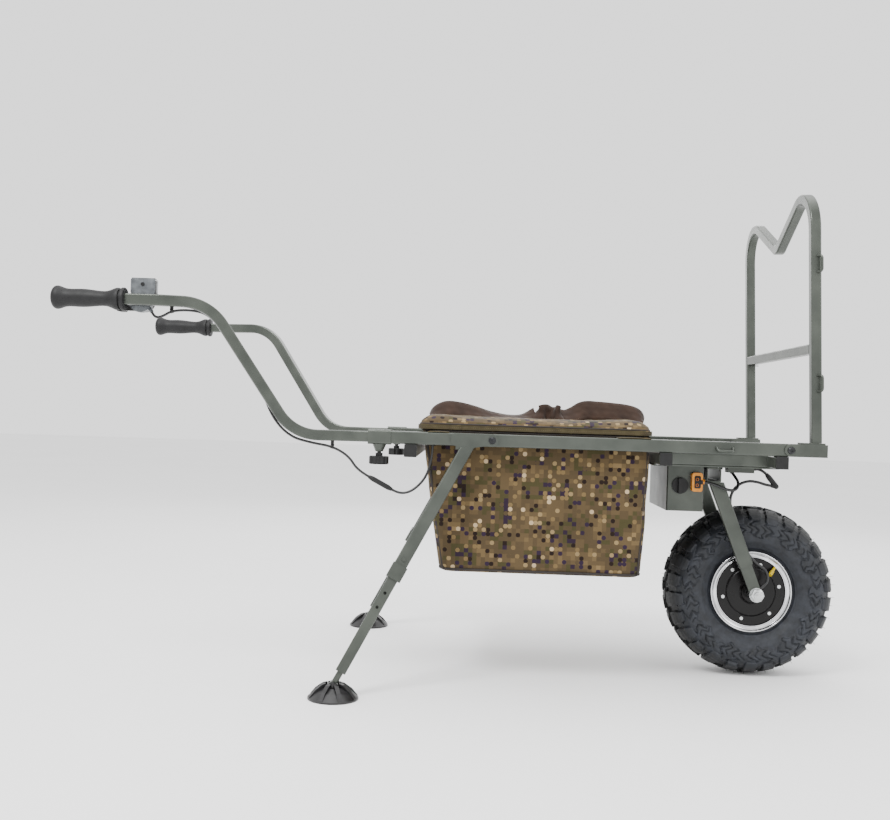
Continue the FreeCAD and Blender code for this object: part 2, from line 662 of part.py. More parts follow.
def motor_plug():
    """Angled inline plug of the motor lead: a short inlet, an elbow and the tapered barrel."""
    inlet, outlet = V(*MOTOR_LEAD[-1]), V(*CONTROLLER_LEAD[0])
    along = (outlet - PLUG_ELBOW).normalize()
    barrel = rod(PLUG_ELBOW, outlet - along * 9, 5.5)
    taper = Part.makeCone(5.5, MOTOR_LEAD_RADIUS + 0.6, 9.0, outlet - along * 9, along)
    plug = fused(rod(inlet, PLUG_ELBOW, 4.2), Part.makeSphere(5.5, PLUG_ELBOW), barrel, taper)
    return plug.cut(rod(outlet, V(*CONTROLLER_LEAD[1]), 6.5))


def boss(points, radius, depth):
    """A round boss whose face meets the first point of a lead squarely."""
    start = V(*points[0])
    along = (V(*points[1]) - start).normalize()
    return rod(start - along * depth, start, radius + 1.3)


def lead_room(points):
    """The room that the first centimetre of a motor or battery lead takes, with a hair's clearance."""
    start = V(*points[0])
    return rod(start, start + (V(*points[1]) - start).normalize() * 10, MOTOR_LEAD_RADIUS + 0.05)


# ---- legs ------------------------------------------------------------------------------
def leg_direction():
    """Unit vector down the right leg."""
    return (FOOT_PIVOT - LEG_TOP).normalize()


def leg_point(distance):
    """A point on the right leg's centreline."""
    return LEG_TOP + leg_direction() * distance


def leg_upper():
    """Right upper leg: a hinge plate welded to a square tube, with the tube's collar and its lock button."""
    plate_y = (-RAIL_OUTER_Y - 0.8 - LEG_PLATE_THICKNESS, -RAIL_OUTER_Y - 0.8)
    half = RAIL_SIZE / 2 - 0.4
    plate = box((LEG_PLATE_REAR + 8, LEG_PIVOT_X), plate_y, (RAIL_Z - half, RAIL_Z + half))
    rear = Part.Face(rounded_wire(V(LEG_PLATE_REAR + 14, plate_y[0], RAIL_Z), X, Z, 28, 2 * half, 7.0))
    plate = fused(plate, y_rod(LEG_PIVOT_X, RAIL_Z, plate_y[0], plate_y[1], half),
                  rear.extrude(Y * LEG_PLATE_THICKNESS))
    web_outline = [(9, RAIL_Z), (66, RAIL_Z), (62, RAIL_BOTTOM), (46, RAIL_BOTTOM - 2.5), (35, RAIL_BOTTOM - 7),
                   (9, RAIL_BOTTOM - 7), (9, RAIL_Z)]
    web = Part.Face(Part.makePolygon([V(LEG_PLATE_REAR + x, plate_y[0], z) for x, z in web_outline]))
    plate = fused(plate, web.extrude(Y * LEG_PLATE_THICKNESS))
    along = leg_direction()
    outwards = (V(0, -1, 0) - along * along.dot(V(0, -1, 0))).normalize()
    start, end = leg_point(-30), leg_point(LEG_COLLAR_AT - 4)
    room = box((-400, 300), (-500, 0), (0, LEG_TOP.z))
    tube = square_tube(start, end, outwards, LEG_TUBE, LEG_WALL).common(room)
    plate = plate.cut(square_bar(start, end, outwards, LEG_TUBE).common(room))
    plate = plate.cut(y_rod(LEG_PIVOT_X, RAIL_Z, -RAIL_OUTER_Y - 20, -RAIL_OUTER_Y + 5, BOLT_RADIUS + FIT))
    collar_start, collar_end = leg_point(LEG_COLLAR_AT - LEG_COLLAR_LENGTH), leg_point(LEG_COLLAR_AT)
    collar = square_bar(collar_start, collar_end, outwards, LEG_COLLAR_SIZE)
    collar = collar.cut(square_bar(collar_start - along, leg_point(LEG_COLLAR_AT - 4), outwards, LEG_TUBE))
    collar = collar.cut(square_bar(collar_start - along, collar_end + along, outwards, LEG_TUBE - 2 * LEG_WALL))
    button_at = leg_point(LEG_COLLAR_AT - LEG_COLLAR_LENGTH - 12)
    button = rod(button_at + outwards * (LEG_TUBE / 2 - LEG_WALL + 0.1), button_at + outwards * (LEG_TUBE / 2 + 3.5), 3.5)
    tube = tube.cut(rod(button_at, button_at + outwards * LEG_TUBE, 3.6))
    return group(plate, tube, collar, button)


def square_bar(start, end, up, size):
    """A straight solid square bar with small round corners."""
    along = (end - start).normalize()
    side = along.cross(up).normalize()
    return Part.Face(rounded_wire(start, side, side.cross(along), size, size, 2.0)).extrude(end - start)


def leg_lower():
    """Right lower leg tube, with its end plug and the stem to the foot as a separate solid."""
    along = leg_direction()
    outwards = (V(0, -1, 0) - along * along.dot(V(0, -1, 0))).normalize()
    start, end = leg_point(LEG_COLLAR_AT - LEG_LOWER_INSIDE), leg_point(LEG_LOWER_END)
    tube = square_tube(start, end, outwards, SLIM_TUBE, SLIM_WALL)
    for distance in (-60, 30, 60):
        hole = leg_point(LEG_COLLAR_AT + distance)
        tube = tube.cut(rod(hole, hole + outwards * SLIM_TUBE, 3.0))
    plug = square_bar(leg_point(LEG_LOWER_END - 20), end, outwards, SLIM_TUBE - 2 * SLIM_WALL - 0.2)
    cap = square_bar(end, leg_point(LEG_LOWER_END + 4), outwards, SLIM_TUBE)
    stem = rod(leg_point(LEG_LOWER_END), FOOT_PIVOT, 6.0)
    eye = y_rod(FOOT_PIVOT.x, FOOT_PIVOT.z, FOOT_PIVOT.y - 8, FOOT_PIVOT.y + 8, 8.0)
    stem = fused(plug, cap, stem, eye)
    stem = stem.cut(y_rod(FOOT_PIVOT.x, FOOT_PIVOT.z, FOOT_PIVOT.y - 9, FOOT_PIVOT.y + 9, FOOT_PIN_RADIUS + FIT))
    return group(tube, stem)


def foot():
    """Right mud foot: a ribbed dome with two ears and the cross pin."""
    cx, cy = FOOT_PIVOT.x, FOOT_PIVOT.y
    lobes = 8
    base = V(cx, cy, 0)
    profile = [V(0, 0, 0), V(FOOT_RADIUS, 0, 0), V(FOOT_RADIUS, 0, 3.5), V(34, 0, 15), V(20, 0, 22), V(14, 0, 22),
               V(14, 0, 12), V(0, 0, 12)]
    profile = [base + p for p in profile]
    dome = Part.Face(Part.makePolygon(profile + profile[:1])).revolve(base, Z, 360)
    ribs = []
    for k in range(lobes):
        rib = Part.Face(Part.makePolygon([base + V(15, 0, 10), base + V(FOOT_RADIUS - 1, 0, 2),
                                          base + V(FOOT_RADIUS - 1, 0, 5.5), base + V(36, 0, 18),
                                          base + V(22, 0, 28), base + V(15, 0, 30), base + V(15, 0, 10)]))
        rib.translate(V(0, -4, 0))
        rib = rib.extrude(Y * 8)
        rib.rotate(base, Z, 22.5 + 360.0 * k / lobes)
        ribs.append(rib)
    body = fused(dome, *ribs)
    body = body.cut(Part.makeCylinder(14.5, 40, V(cx, cy, 12)))
    ears = []
    for side in (-1, 1):
        y = sorted((cy + side * 9.0, cy + side * 13.0))
        ear = fused(box((cx - 7, cx + 7), y, (6, FOOT_PIVOT.z)), y_rod(cx, FOOT_PIVOT.z, y[0], y[1], 7.0))
        ears.append(ear)
    body = fused(body, *ears)
    body = body.cut(y_rod(cx, FOOT_PIVOT.z, cy - 14, cy + 14, FOOT_PIN_RADIUS + 0.05))
    pin = y_rod(cx, FOOT_PIVOT.z, cy - 13, cy + 13, FOOT_PIN_RADIUS)
    return group(body, pin)


# ---- front bar -------------------------------------------------------------------------
def leaned(shape):
    """Leans a part of the front bar backwards about its foot."""
    shape.rotate(V(BAR_POST_X, 0, RAIL_TOP), Y, -BAR_LEAN)
    return shape


def front_bar():
    """One bent tube: two posts, two humps and the dip between them."""
    foot_z = RAIL_TOP + 3.0
    centre_z = BAR_HUMP_Z - BAR_HUMP_RADIUS
    slope = math.radians(BAR_DIP_SLOPE)
    hump_end_y = RAIL_Y - BAR_HUMP_RADIUS - BAR_HUMP_RADIUS * math.sin(slope)
    fall = hump_end_y / math.cos(slope) - BAR_DIP_RADIUS * math.tan(slope)
    steps = [("run", centre_z - foot_z), ("up", 90.0 + BAR_DIP_SLOPE, BAR_HUMP_RADIUS), ("run", fall),
             ("up", -2 * BAR_DIP_SLOPE, BAR_DIP_RADIUS), ("run", fall),
             ("up", 90.0 + BAR_DIP_SLOPE, BAR_HUMP_RADIUS), ("run", centre_z - foot_z)]
    return leaned(bent_tube(V(BAR_POST_X, -RAIL_Y, foot_z), Z, Y, SLIM_TUBE, SLIM_WALL, steps))


def front_crossbar():
    """Square tube between the two posts."""
    y = RAIL_Y - SLIM_TUBE / 2
    return leaned(square_tube(V(BAR_POST_X, -y, BAR_CROSS_Z), V(BAR_POST_X, y, BAR_CROSS_Z), Z, SLIM_TUBE, SLIM_WALL))


def front_bar_bases():
    """Folding base of each post: a channel that straddles the rail's end on the pivot bolt."""
    cheek = 3.0
    inner, outer = RAIL_INNER_Y - 0.5, RAIL_OUTER_Y + 0.5
    half = RAIL_SIZE / 2 - 0.2
    z = (RAIL_Z - half, RAIL_Z + half)
    start = BAR_PIVOT_X + 16.5
    shell = box((start, BAR_FRONT), (-outer - cheek, -inner + cheek), z)
    shell = shell.cut(box((start - 1, BAR_FRONT - 3), (-outer, -inner), (z[0] + 2, z[1] - 2)))
    cheeks = []
    for y in ((-outer - cheek, -outer), (-inner, -inner + cheek)):
        cheeks.append(fused(box((BAR_PIVOT_X, start + 1), y, z), y_rod(BAR_PIVOT_X, RAIL_Z, y[0], y[1], half)))
    base = fused(shell, *cheeks)
    base = base.cut(y_rod(BAR_PIVOT_X, RAIL_Z, -outer - 10, -inner + 10, BOLT_RADIUS + FIT))
    plate = box((BAR_POST_X - 32, BAR_POST_X + 16), (-outer - 1, -inner + 1), (z[1], RAIL_TOP + 2.8))
    plate = plate.makeFillet(4.0, [e for e in plate.Edges if abs(e.Length - (RAIL_TOP + 2.8 - z[1])) < 0.01])
    return both(fused(base, plate))


def post_tie_loops():
    """Bent rod eyes on the outside of the posts, turned forwards."""
    out = V(0.53, -0.85, 0).normalize()
    face = -RAIL_Y - SLIM_TUBE / 2
    keep = box((BAR_POST_X - 50, BAR_POST_X + 50), (face - 50, face), (0, BAR_HUMP_Z))
    loops = []
    for z in (620.0, 852.0):
        loop = tie_loop(V(BAR_POST_X, face + 2.0, z), Z, out, reach=17.0).common(keep)
        loops.append(leaned(loop))
    return group(*[both(loop) for loop in loops])


# ---- handles ---------------------------------------------------------------------------
def handle_tube():
    """Right handle: a square tube that slides into the rail, flares outwards and rises to the grip."""
    flare = math.radians(HANDLE_FLARE)
    plan = math.cos(flare)
    run_low = (HANDLE_FLARE_X - HANDLE_LOW_BEND_X) / plan
    run_up = (HANDLE_LOW_BEND_X - HANDLE_TOP_BEND_X) / plan
    run_top = (HANDLE_TOP_BEND_X - HANDLE_STRAIGHT_X) / plan
    rise = HANDLE_TOP_Z - RAIL_Z
    pitch = math.atan2(rise, run_up)
    slant = math.hypot(rise, run_up)
    cut = HANDLE_BEND_RADIUS * math.tan(pitch / 2)
    flare_cut = FLARE_RADIUS * math.tan(flare / 2)
    start_x = RAIL_REAR + HANDLE_INSERTED
    end_x = GRIP_REAR + 14.0
    lift = math.degrees(pitch)
    steps = [("run", start_x - HANDLE_FLARE_X - flare_cut), ("side", HANDLE_FLARE, FLARE_RADIUS),
             ("run", run_low - flare_cut - cut), ("up", lift, HANDLE_BEND_RADIUS), ("run", slant - 2 * cut),
             ("up", -lift, HANDLE_BEND_RADIUS), ("run", run_top - cut - flare_cut),
             ("side", -HANDLE_FLARE, FLARE_RADIUS), ("run", HANDLE_STRAIGHT_X - flare_cut - end_x)]
    # heading is -X and up is +Z, so "side" is +Y: the right handle turns to negative Y
    steps = [(s[0], -s[1], s[2]) if s[0] == "side" else s for s in steps]
    return bent_tube(V(start_x, -RAIL_Y, RAIL_Z), V(-1, 0, 0), Z, HANDLE_TUBE, RAIL_WALL, steps)


def grip():
    """Right moulded grip with a flared end and two flange rings."""
    axis = V(GRIP_REAR, -GRIP_Y, HANDLE_TOP_Z)
    outline = [(0, 13), (1.5, 17), (5, 21), (10, 22.3), (16, 21), (24, 18.2), (34, 16.9), (48, 17.2), (62, 17.2),
               (76, 16), (92, 14.4), (104, 14.8), (114, 18), (121, 20.8), (126, 21.3), (128.5, 20.6)]
    curve = Part.BSplineCurve()
    curve.interpolate([axis + V(x, 0, r) for x, r in outline])
    after = [(128.5, 17.5), (132, 17.5), (132, 21.0), (133.5, 22.0), (137.5, 22.0), (139, 21.0), (139, 17.5),
             (GRIP_LENGTH, 17.0), (GRIP_LENGTH, 0), (0, 0)]
    points = [axis + V(x, 0, r) for x, r in [outline[-1]] + after + [outline[0]]]
    edges = [curve.toShape()] + [Part.makeLine(a, b) for a, b in zip(points, points[1:])]
    body = Part.Face(Part.Wire(edges)).revolve(axis, X, 360)
    bore = Part.Face(rounded_wire(axis + X * 13.5, Y, Z, HANDLE_TUBE, HANDLE_TUBE, CORNER))
    return body.cut(bore.extrude(X * GRIP_LENGTH))


THROTTLE = V(-631.0, -GRIP_Y + HANDLE_TUBE / 2, HANDLE_TOP_Z)  # foot of the stub on the right handle
STUB_RADIUS = 11.0


def throttle_housing():
    """Stub bar, clamp ring with display head, and the circuit board, as separate solids."""
    x, y, z = THROTTLE
    stub = y_rod(x, z, y, y + 52, STUB_RADIUS)
    clamp = y_rod(x, z, y + 3, y + 19, 22.5)
    head = box((x - 19, x + 28), (y + 3, y + 23), (z + 12, z + 43))
    head = head.makeFillet(5.0, [e for e in head.Edges if abs(e.Length - 20) < 0.01])
    housing = fused(clamp, head, boss(LEAD_UPPER, LEAD_RADIUS, 11.0)).cut(y_rod(x, z, y - 5, y + 60, STUB_RADIUS + 0.1))
    room = box((x - 16, x + 25), (y + 7, y + 20), (z + 24, z + 40))
    window = box((x - 20, x - 15), (y + 6, y + 20), (z + 22, z + 36))
    housing = housing.cut(room).cut(window)
    button_hole = y_rod(BUTTON.x, BUTTON.z, y, y + 8, BUTTON_RADIUS + 0.15)
    housing = housing.cut(button_hole)
    board = box((x - 14, x + 25), (y + 12, y + 13.6), (z + 25, z + 39))
    return group(stub, housing, board)


BUTTON_RADIUS = 3.5
BUTTON = V(THROTTLE.x + 4.0, THROTTLE.y + 3.0, THROTTLE.z + 31.0)
BUTTON_TRAVEL = 1.2


def power_button():
    """Round push button in the outer face of the display head."""
    return y_rod(BUTTON.x, BUTTON.z, BUTTON.y - 1.8, BUTTON.y + 6.5, BUTTON_RADIUS)


def display_lens():
    """Clear window of the battery gauge, which faces the user."""
    x, y, z = THROTTLE
    return box((x - 19.3, x - 16.3), (y + 6.2, y + 19.8), (z + 22.2, z + 35.8))


def throttle_lever():
    """Thumb lever that turns on the stub."""
    x, y, z = THROTTLE
    hub = y_rod(x, z, y + 24, y + 38, 20.0)
    arm = box((x - 44, x - 8), (y + 24, y + 38), (z - 18, z - 8))
    arm = arm.makeFillet(3.0, [e for e in arm.Edges if abs(e.Length - 14) < 0.01])
    pad = box((x - 52, x - 36), (y + 24, y + 46), (z - 20, z - 9))
    pad = pad.makeFillet(4.0, [e for e in pad.Edges if abs(e.Length - 22) < 0.01])
    lever = fused(hub, arm, pad)
    return lever.cut(y_rod(x, z, y + 10, y + 60, STUB_RADIUS + 0.2))


def clamp_knob():
    """Right clamp screw with its star knob."""
    top = RAIL_Z - HANDLE_TUBE / 2 - 0.2
    screw = Part.makeCylinder(CLAMP_RADIUS, top - 440.0, V(CLAMP_X, -RAIL_Y, 440.0))
    head = star_knob(CLAMP_X, -RAIL_Y, 435.0, 16.0, 19.5, 8)
    neck = Part.makeCylinder(7.0, 6.0, V(CLAMP_X, -RAIL_Y, 451.0))
    knob = fused(head, neck).cut(Part.makeCylinder(CLAMP_RADIUS, 30, V(CLAMP_X, -RAIL_Y, 440.0)))
    return group(screw, knob)


# ---- bag -------------------------------------------------------------------------------
def bag_section(z, x0, x1, y, corner):
    """A level outline of the bag."""
    return rounded_wire(V((x0 + x1) / 2, 0, z), X, Y, x1 - x0, 2 * y, corner)


def bag_body():
    """The bag below its zip, a thin-walled pouch that hangs between the rails."""
    outer = Part.makeLoft([bag_section(BAG_BOTTOM, -48, 354, 214, 24), bag_section(BAG_TOP, -90, 364, 227, 24)], True)
    base = [e for e in outer.Edges if e.BoundBox.ZMax < BAG_BOTTOM + 0.1]
    outer = outer.makeFillet(8.0, base)
    w = BAG_WALL
    inner = Part.makeLoft([bag_section(BAG_BOTTOM + w, -48 + w, 354 - w, 214 - w, 20),
                           bag_section(BAG_TOP + 1, -90 + w, 364 - w, 227 - w, 20)], True)
    return outer.cut(inner)


def bag_hangers():
    """Four webbing flaps that lie over the rails and carry the bag."""
    flaps = []
    for x in ((-78.0, -36.0), (293.0, 357.0)):
        flaps.append(box(x, (-RAIL_OUTER_Y, -227.2), (RAIL_TOP + 0.1, RAIL_TOP + 3.4)))
    return group(*[both(f) for f in flaps])


def bag_lid():
    """Padded lid with its zip flange."""
    flange = Part.Face(bag_section(LID_BOTTOM, -98, 366, 229, 26)).extrude(Z * 9)
    crown = Part.makeLoft([bag_section(LID_BOTTOM + 9, -94, 362, 225, 26),
                           bag_section(LID_BOTTOM + 24, -78, 348, 205, 26)], True)
    lid = fused(flange, crown)
    hollow = Part.makeLoft([bag_section(LID_BOTTOM - 1, -84, 352, 215, 20),
                            bag_section(LID_BOTTOM + 16, -72, 342, 198, 20)], True)
    return lid.cut(hollow)


def strap_solid():
    """Space held by the carrying strap that lies along the lid."""
    top = LID_BOTTOM + 24
    outline = [(-82, top), (-82, 540), (-60, 556), (-33, 566), (0, 558), (40, 545), (80, 541), (130, 546),
               (160, 562), (180, 562), (200, 552), (235, 570), (300, 574), (350, 566), (364, 545), (364, top)]
    points = [V(x, -95.0, z) for x, z in outline]
    return Part.Face(Part.makePolygon(points + points[:1])).extrude(Y * 44)


# ---- fasteners and clips ---------------------------------------------------------------
def frame_bolts():
    """Pivot bolts of the legs and of the front bar, and the bolts of the fork crown, with their nuts."""
    bolts = []
    for x, outer, inner in ((LEG_PIVOT_X, RAIL_OUTER_Y + 5.0, RAIL_INNER_Y),
                            (BAR_PIVOT_X, RAIL_OUTER_Y + 3.6, RAIL_INNER_Y - 3.6)):
        head = turned([(0, -outer), (7.5, -outer), (7.0, -outer - 2.2), (4.5, -outer - 4.4), (0, -outer - 4.4)],
                      V(x, 0, RAIL_Z))
        socket = hexagon(V(x, 0, RAIL_Z), 5.0, -outer - 5, -outer - 2)
        shank = y_rod(x, RAIL_Z, -outer, -inner + 9, BOLT_RADIUS)
        nut = hexagon(V(x, 0, RAIL_Z), 13.0, -inner + 0.1, -inner + 6.5)
        nut = nut.cut(y_rod(x, RAIL_Z, -inner - 1, -inner + 10, BOLT_RADIUS))
        bolts.append(both(fused(head, shank).cut(socket)))
        bolts.append(both(nut))
    for x, y in crown_bolt_places():
        head = Part.makeCylinder(6.5, 4, V(x, y, TRAY_TOP))
        shank = Part.makeCylinder(BOLT_RADIUS, TRAY_TOP - TRAY_BOTTOM + 9, V(x, y, TRAY_BOTTOM - 9))
        bolts.append(fused(head, shank))
    return group(*bolts)


def handle_clips():
    """Cable clips under the right handle tube."""
    room = cord_path(LEAD_UPPER)[0]
    profile = Part.Wire([Part.Circle(V(*LEAD_UPPER[0]), V(*LEAD_UPPER[1]) - V(*LEAD_UPPER[0]),
                                     LEAD_RADIUS + 0.3).toShape()])
    room = room.makePipeShell([profile], True, False)
    clips = []
    for index, top in ((3, HANDLE_TOP_Z - HANDLE_TUBE / 2), (12, RAIL_Z - HANDLE_TUBE / 2)):
        at = V(*LEAD_UPPER[index])
        along = (V(*LEAD_UPPER[index + 1]) - V(*LEAD_UPPER[index - 1])).normalize()
        band = rod(at - along * 3, at + along * 3, LEAD_RADIUS + 2.2)
        post = box((at.x - 3, at.x + 3), (at.y - 2.5, at.y + 2.5), (at.z, top))
        clips.append(fused(band, post).cut(room))
    return group(*clips)


def grommet():
    """Rubber grommet where the lead enters the right rail."""
    x, y = LEAD_LOWER[-1][:2]
    flange = Part.makeCylinder(LEAD_RADIUS + 3.0, 2.0, V(x, y, RAIL_BOTTOM - 2.0))
    return flange.cut(Part.makeCylinder(LEAD_RADIUS + 0.4, 8.0, V(x, y, RAIL_BOTTOM - 4.0)))


def build():
    """Every node of the barrow, by name."""
    rail_shape, upper, lower = rail(), leg_upper(), leg_lower()
    foot_shape, handle, grip_shape, knob = foot(), handle_tube(), grip(), clamp_knob()
    return {
        "bed_rails": both(rail_shape), "handle_socket_collars": socket_collars(),
        "cross_tubes": cross_tubes(), "cross_tube_caps": cross_tube_caps(), "subframe_rails": subframe_rails(),
        "equipment_tray": equipment_tray(), "rail_tie_loops": rail_tie_loops(), "fork_crown": fork_crown(),
        "fork_legs": fork_legs(), "axle": axle(), "axle_nuts": axle_nuts(), "stator_core": stator_core(),
        "stator_windings": stator_windings(), "rotor": rotor(), "rim": rim(), "tyre": tyre(),
        "wheel_covers": wheel_covers(), "cover_screws": cover_screws(),
        "wheel_bearings": wheel_bearings(), "tyre_valve": valve(), "battery_box": battery_box(),
        "battery_pack": battery_pack(), "motor_controller": motor_controller(),
        "power_connector": power_connector(), "charge_port": charge_port(), "frame_bolts": frame_bolts(),
        "lead_grommet": grommet(), "lead_socket": lead_socket(),
        "throttle_lead_lower": cord_tube("throttle_lead_lower", LEAD_LOWER, LEAD_RADIUS),
        "motor_lead": cord_tube("motor_lead", MOTOR_LEAD, MOTOR_LEAD_RADIUS), "motor_lead_plug": motor_plug(),
        "controller_lead": cord_tube("controller_lead", CONTROLLER_LEAD, MOTOR_LEAD_RADIUS),
        "battery_lead": cord_tube("battery_lead", BATTERY_LEAD, BATTERY_LEAD_RADIUS),
        "right_leg_upper": upper, "left_leg_upper": mirrored(upper), "right_leg_lower": lower,
        "left_leg_lower": mirrored(lower), "right_foot": foot_shape, "left_foot": mirrored(foot_shape),
        "front_bar": front_bar(), "front_crossbar": front_crossbar(), "front_bar_bases": front_bar_bases(),
        "post_tie_loops": post_tie_loops(), "right_handle_tube": handle, "left_handle_tube": mirrored(handle),
        "right_grip": grip_shape, "left_grip": mirrored(grip_shape), "throttle_housing": throttle_housing(),
        "display_lens": display_lens(), "throttle_lever": throttle_lever(), "power_button": power_button(),
        "throttle_lead_upper": cord_tube("throttle_lead_upper", LEAD_UPPER, LEAD_RADIUS),
        "lead_plug": lead_plug(), "handle_clips": handle_clips(), "right_clamp_knob": knob,
        "left_clamp_knob": mirrored(knob), "bag_body": bag_body(), "bag_hangers": bag_hangers(),
        "bag_lid": bag_lid(), "bag_straps": strap_solid(),
    }


os.makedirs("parts", exist_ok=True)
nodes = build()
for name, shape in nodes.items():
    bounds = shape.BoundBox
    good = all(s.isValid() and s.Volume > 0 for s in shape.Solids)
    print(f"{name}: solids {len(shape.Solids)}, valid {good}, x {bounds.XMin:.1f} {bounds.XMax:.1f},",
          f"y {bounds.YMin:.1f} {bounds.YMax:.1f}, z {bounds.ZMin:.1f} {bounds.ZMax:.1f}")
    shape.exportStep(f"parts/{name}.step")
print(len(nodes), "nodes")
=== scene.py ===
"""Looks of a single-wheel powered field barrow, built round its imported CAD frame.

Everything is in metres in the CAD's own frame: +X towards the wheel, +Z up, right-hand parts at negative Y.
"""
import logging
import math
from dataclasses import dataclass, field
from enum import Enum

import bmesh
import bpy
from mathutils import Matrix, Vector, noise


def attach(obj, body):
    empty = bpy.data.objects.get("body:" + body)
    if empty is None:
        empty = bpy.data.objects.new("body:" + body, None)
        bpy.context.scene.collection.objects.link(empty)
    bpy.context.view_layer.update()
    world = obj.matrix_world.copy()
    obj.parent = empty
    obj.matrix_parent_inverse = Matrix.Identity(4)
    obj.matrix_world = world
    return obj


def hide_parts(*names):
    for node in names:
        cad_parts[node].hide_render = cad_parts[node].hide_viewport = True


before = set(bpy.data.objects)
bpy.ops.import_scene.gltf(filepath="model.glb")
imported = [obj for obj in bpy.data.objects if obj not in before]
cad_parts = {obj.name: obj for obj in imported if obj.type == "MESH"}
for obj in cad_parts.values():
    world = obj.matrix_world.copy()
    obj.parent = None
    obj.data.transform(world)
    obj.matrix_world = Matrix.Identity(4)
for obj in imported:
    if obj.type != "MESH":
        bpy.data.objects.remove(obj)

Point = tuple[float, float, float]
Route = list[Point]
LOG = logging.getLogger("barrow")
MM = 0.001
WAVE_PHASE = 20  # radians that a straight wave texture turns through in one unit at scale 1


# ---- small helpers ---------------------------------------------------------------------
def linear(code: str) -> tuple[float, float, float, float]:
    """Turn an sRGB hex colour into linear values.

    Args:
        code: six hex digits, with or without a leading hash.

    Returns:
        Linear red, green, blue and an alpha of one.
    """
    digits = code.lstrip("#")
    parts = [int(digits[k:k + 2], 16) / 255 for k in (0, 2, 4)]
    return (*[c / 12.92 if c <= 0.04045 else ((c + 0.055) / 1.055) ** 2.4 for c in parts], 1.0)


def add(tree: bpy.types.NodeTree, kind: str, inputs: dict | None = None, **settings) -> bpy.types.Node:
    """Add a node with its settings, values and links.

    Args:
        tree: the node tree.
        kind: the node's type name.
        inputs: input name or number to a value, or to the socket that feeds it.
        settings: attributes of the node.

    Returns:
        The new node.
    """
    made = tree.nodes.new(kind)
    for name, value in settings.items():
        setattr(made, name, value)
    for name, value in (inputs or {}).items():
        if isinstance(value, bpy.types.NodeSocket):
            tree.links.new(value, made.inputs[name])
        else:
            made.inputs[name].default_value = value
    return made


def ramp(tree: bpy.types.NodeTree, source: bpy.types.NodeSocket, stops: list[tuple[float, str]],
         stepped: bool = False) -> bpy.types.NodeSocket:
    """Colour a value through stops.

    Args:
        tree: the node tree.
        source: the value's socket.
        stops: pairs of place and hex colour, in order.
        stepped: whether colours change at once instead of blending.

    Returns:
        The colour socket.
    """
    made = add(tree, "ShaderNodeValToRGB", {"Fac": source})
    band = made.color_ramp
    band.interpolation = "CONSTANT" if stepped else "LINEAR"
    while len(band.elements) < len(stops):
        band.elements.new(1.0)
    for element, (place, code) in zip(band.elements, stops):
        element.position = place
        element.color = linear(code)
    return made.outputs["Color"]


def band_scale(period: float) -> float:
    """Scale at which a straight wave texture repeats after a period."""
    return 2 * math.pi / (WAVE_PHASE * period)


def maths(tree: bpy.types.NodeTree, operation: str, *values) -> bpy.types.NodeSocket:
    """Combine numbers or sockets by one arithmetic operation."""
    return add(tree, "ShaderNodeMath", dict(enumerate(values)), operation=operation).outputs[0]


def placed(name: str, data: bpy.types.ID) -> bpy.types.Object:
    """Put data in the scene as an object at the origin."""
    made = bpy.data.objects.new(name, data)
    bpy.context.scene.collection.objects.link(made)
    return made


def soften(piece: bpy.types.Object, width: float) -> None:
    """Bevel a piece's sharp edges with a live modifier."""
    bevel = piece.modifiers.new("soft_edges", "BEVEL")
    bevel.width = width
    bevel.segments = 2
    bevel.limit_method = "ANGLE"


def mesh_piece(name: str, points: list, faces: list, smooth: bool = True) -> bpy.types.Object:
    """Make a mesh object at the origin, with its faces pointing outwards."""
    data = bpy.data.meshes.new(name)
    data.from_pydata([tuple(p) for p in points], [], faces)
    shape = bmesh.new()
    shape.from_mesh(data)
    bmesh.ops.remove_doubles(shape, verts=shape.verts, dist=1e-6)
    bmesh.ops.recalc_face_normals(shape, faces=shape.faces)
    for face in shape.faces:
        face.smooth = smooth
    shape.to_mesh(data)
    shape.free()
    return placed(name, data)


def finish_piece(piece: bpy.types.Object, material: bpy.types.Material, body: str) -> bpy.types.Object:
    """Give a piece its material, its CAD body and its material slot, and log it."""
    piece.data.materials.clear()
    piece.data.materials.append(material)
    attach(piece, body)
    LOG.info("made %s on %s", piece.name, body)
    return piece


def settled(piece: bpy.types.Object) -> bpy.types.Object:
    """Turn a piece with live modifiers, or a curve, into a plain mesh of the same name."""
    name = piece.name
    graph = bpy.context.evaluated_depsgraph_get()
    data = bpy.data.meshes.new_from_object(piece.evaluated_get(graph), depsgraph=graph)
    bpy.data.objects.remove(piece)
    data.name = name
    return placed(name, data)


def print_layout(piece: bpy.types.Object) -> None:
    """Lay a piece's cloth out in metres, each face along the two axes that it faces least."""
    layer = piece.data.uv_layers.new(name="cloth_metres")
    for face in piece.data.polygons:
        size = [abs(c) for c in face.normal]
        for index in face.loop_indices:
            x, y, z = piece.data.vertices[piece.data.loops[index].vertex_index].co
            if size[1] >= max(size[0], size[2]):
                layer.data[index].uv = (x, z)
            else:
                layer.data[index].uv = (y + 0.61, z) if size[0] > size[2] else (x + 0.37, y + 0.83)


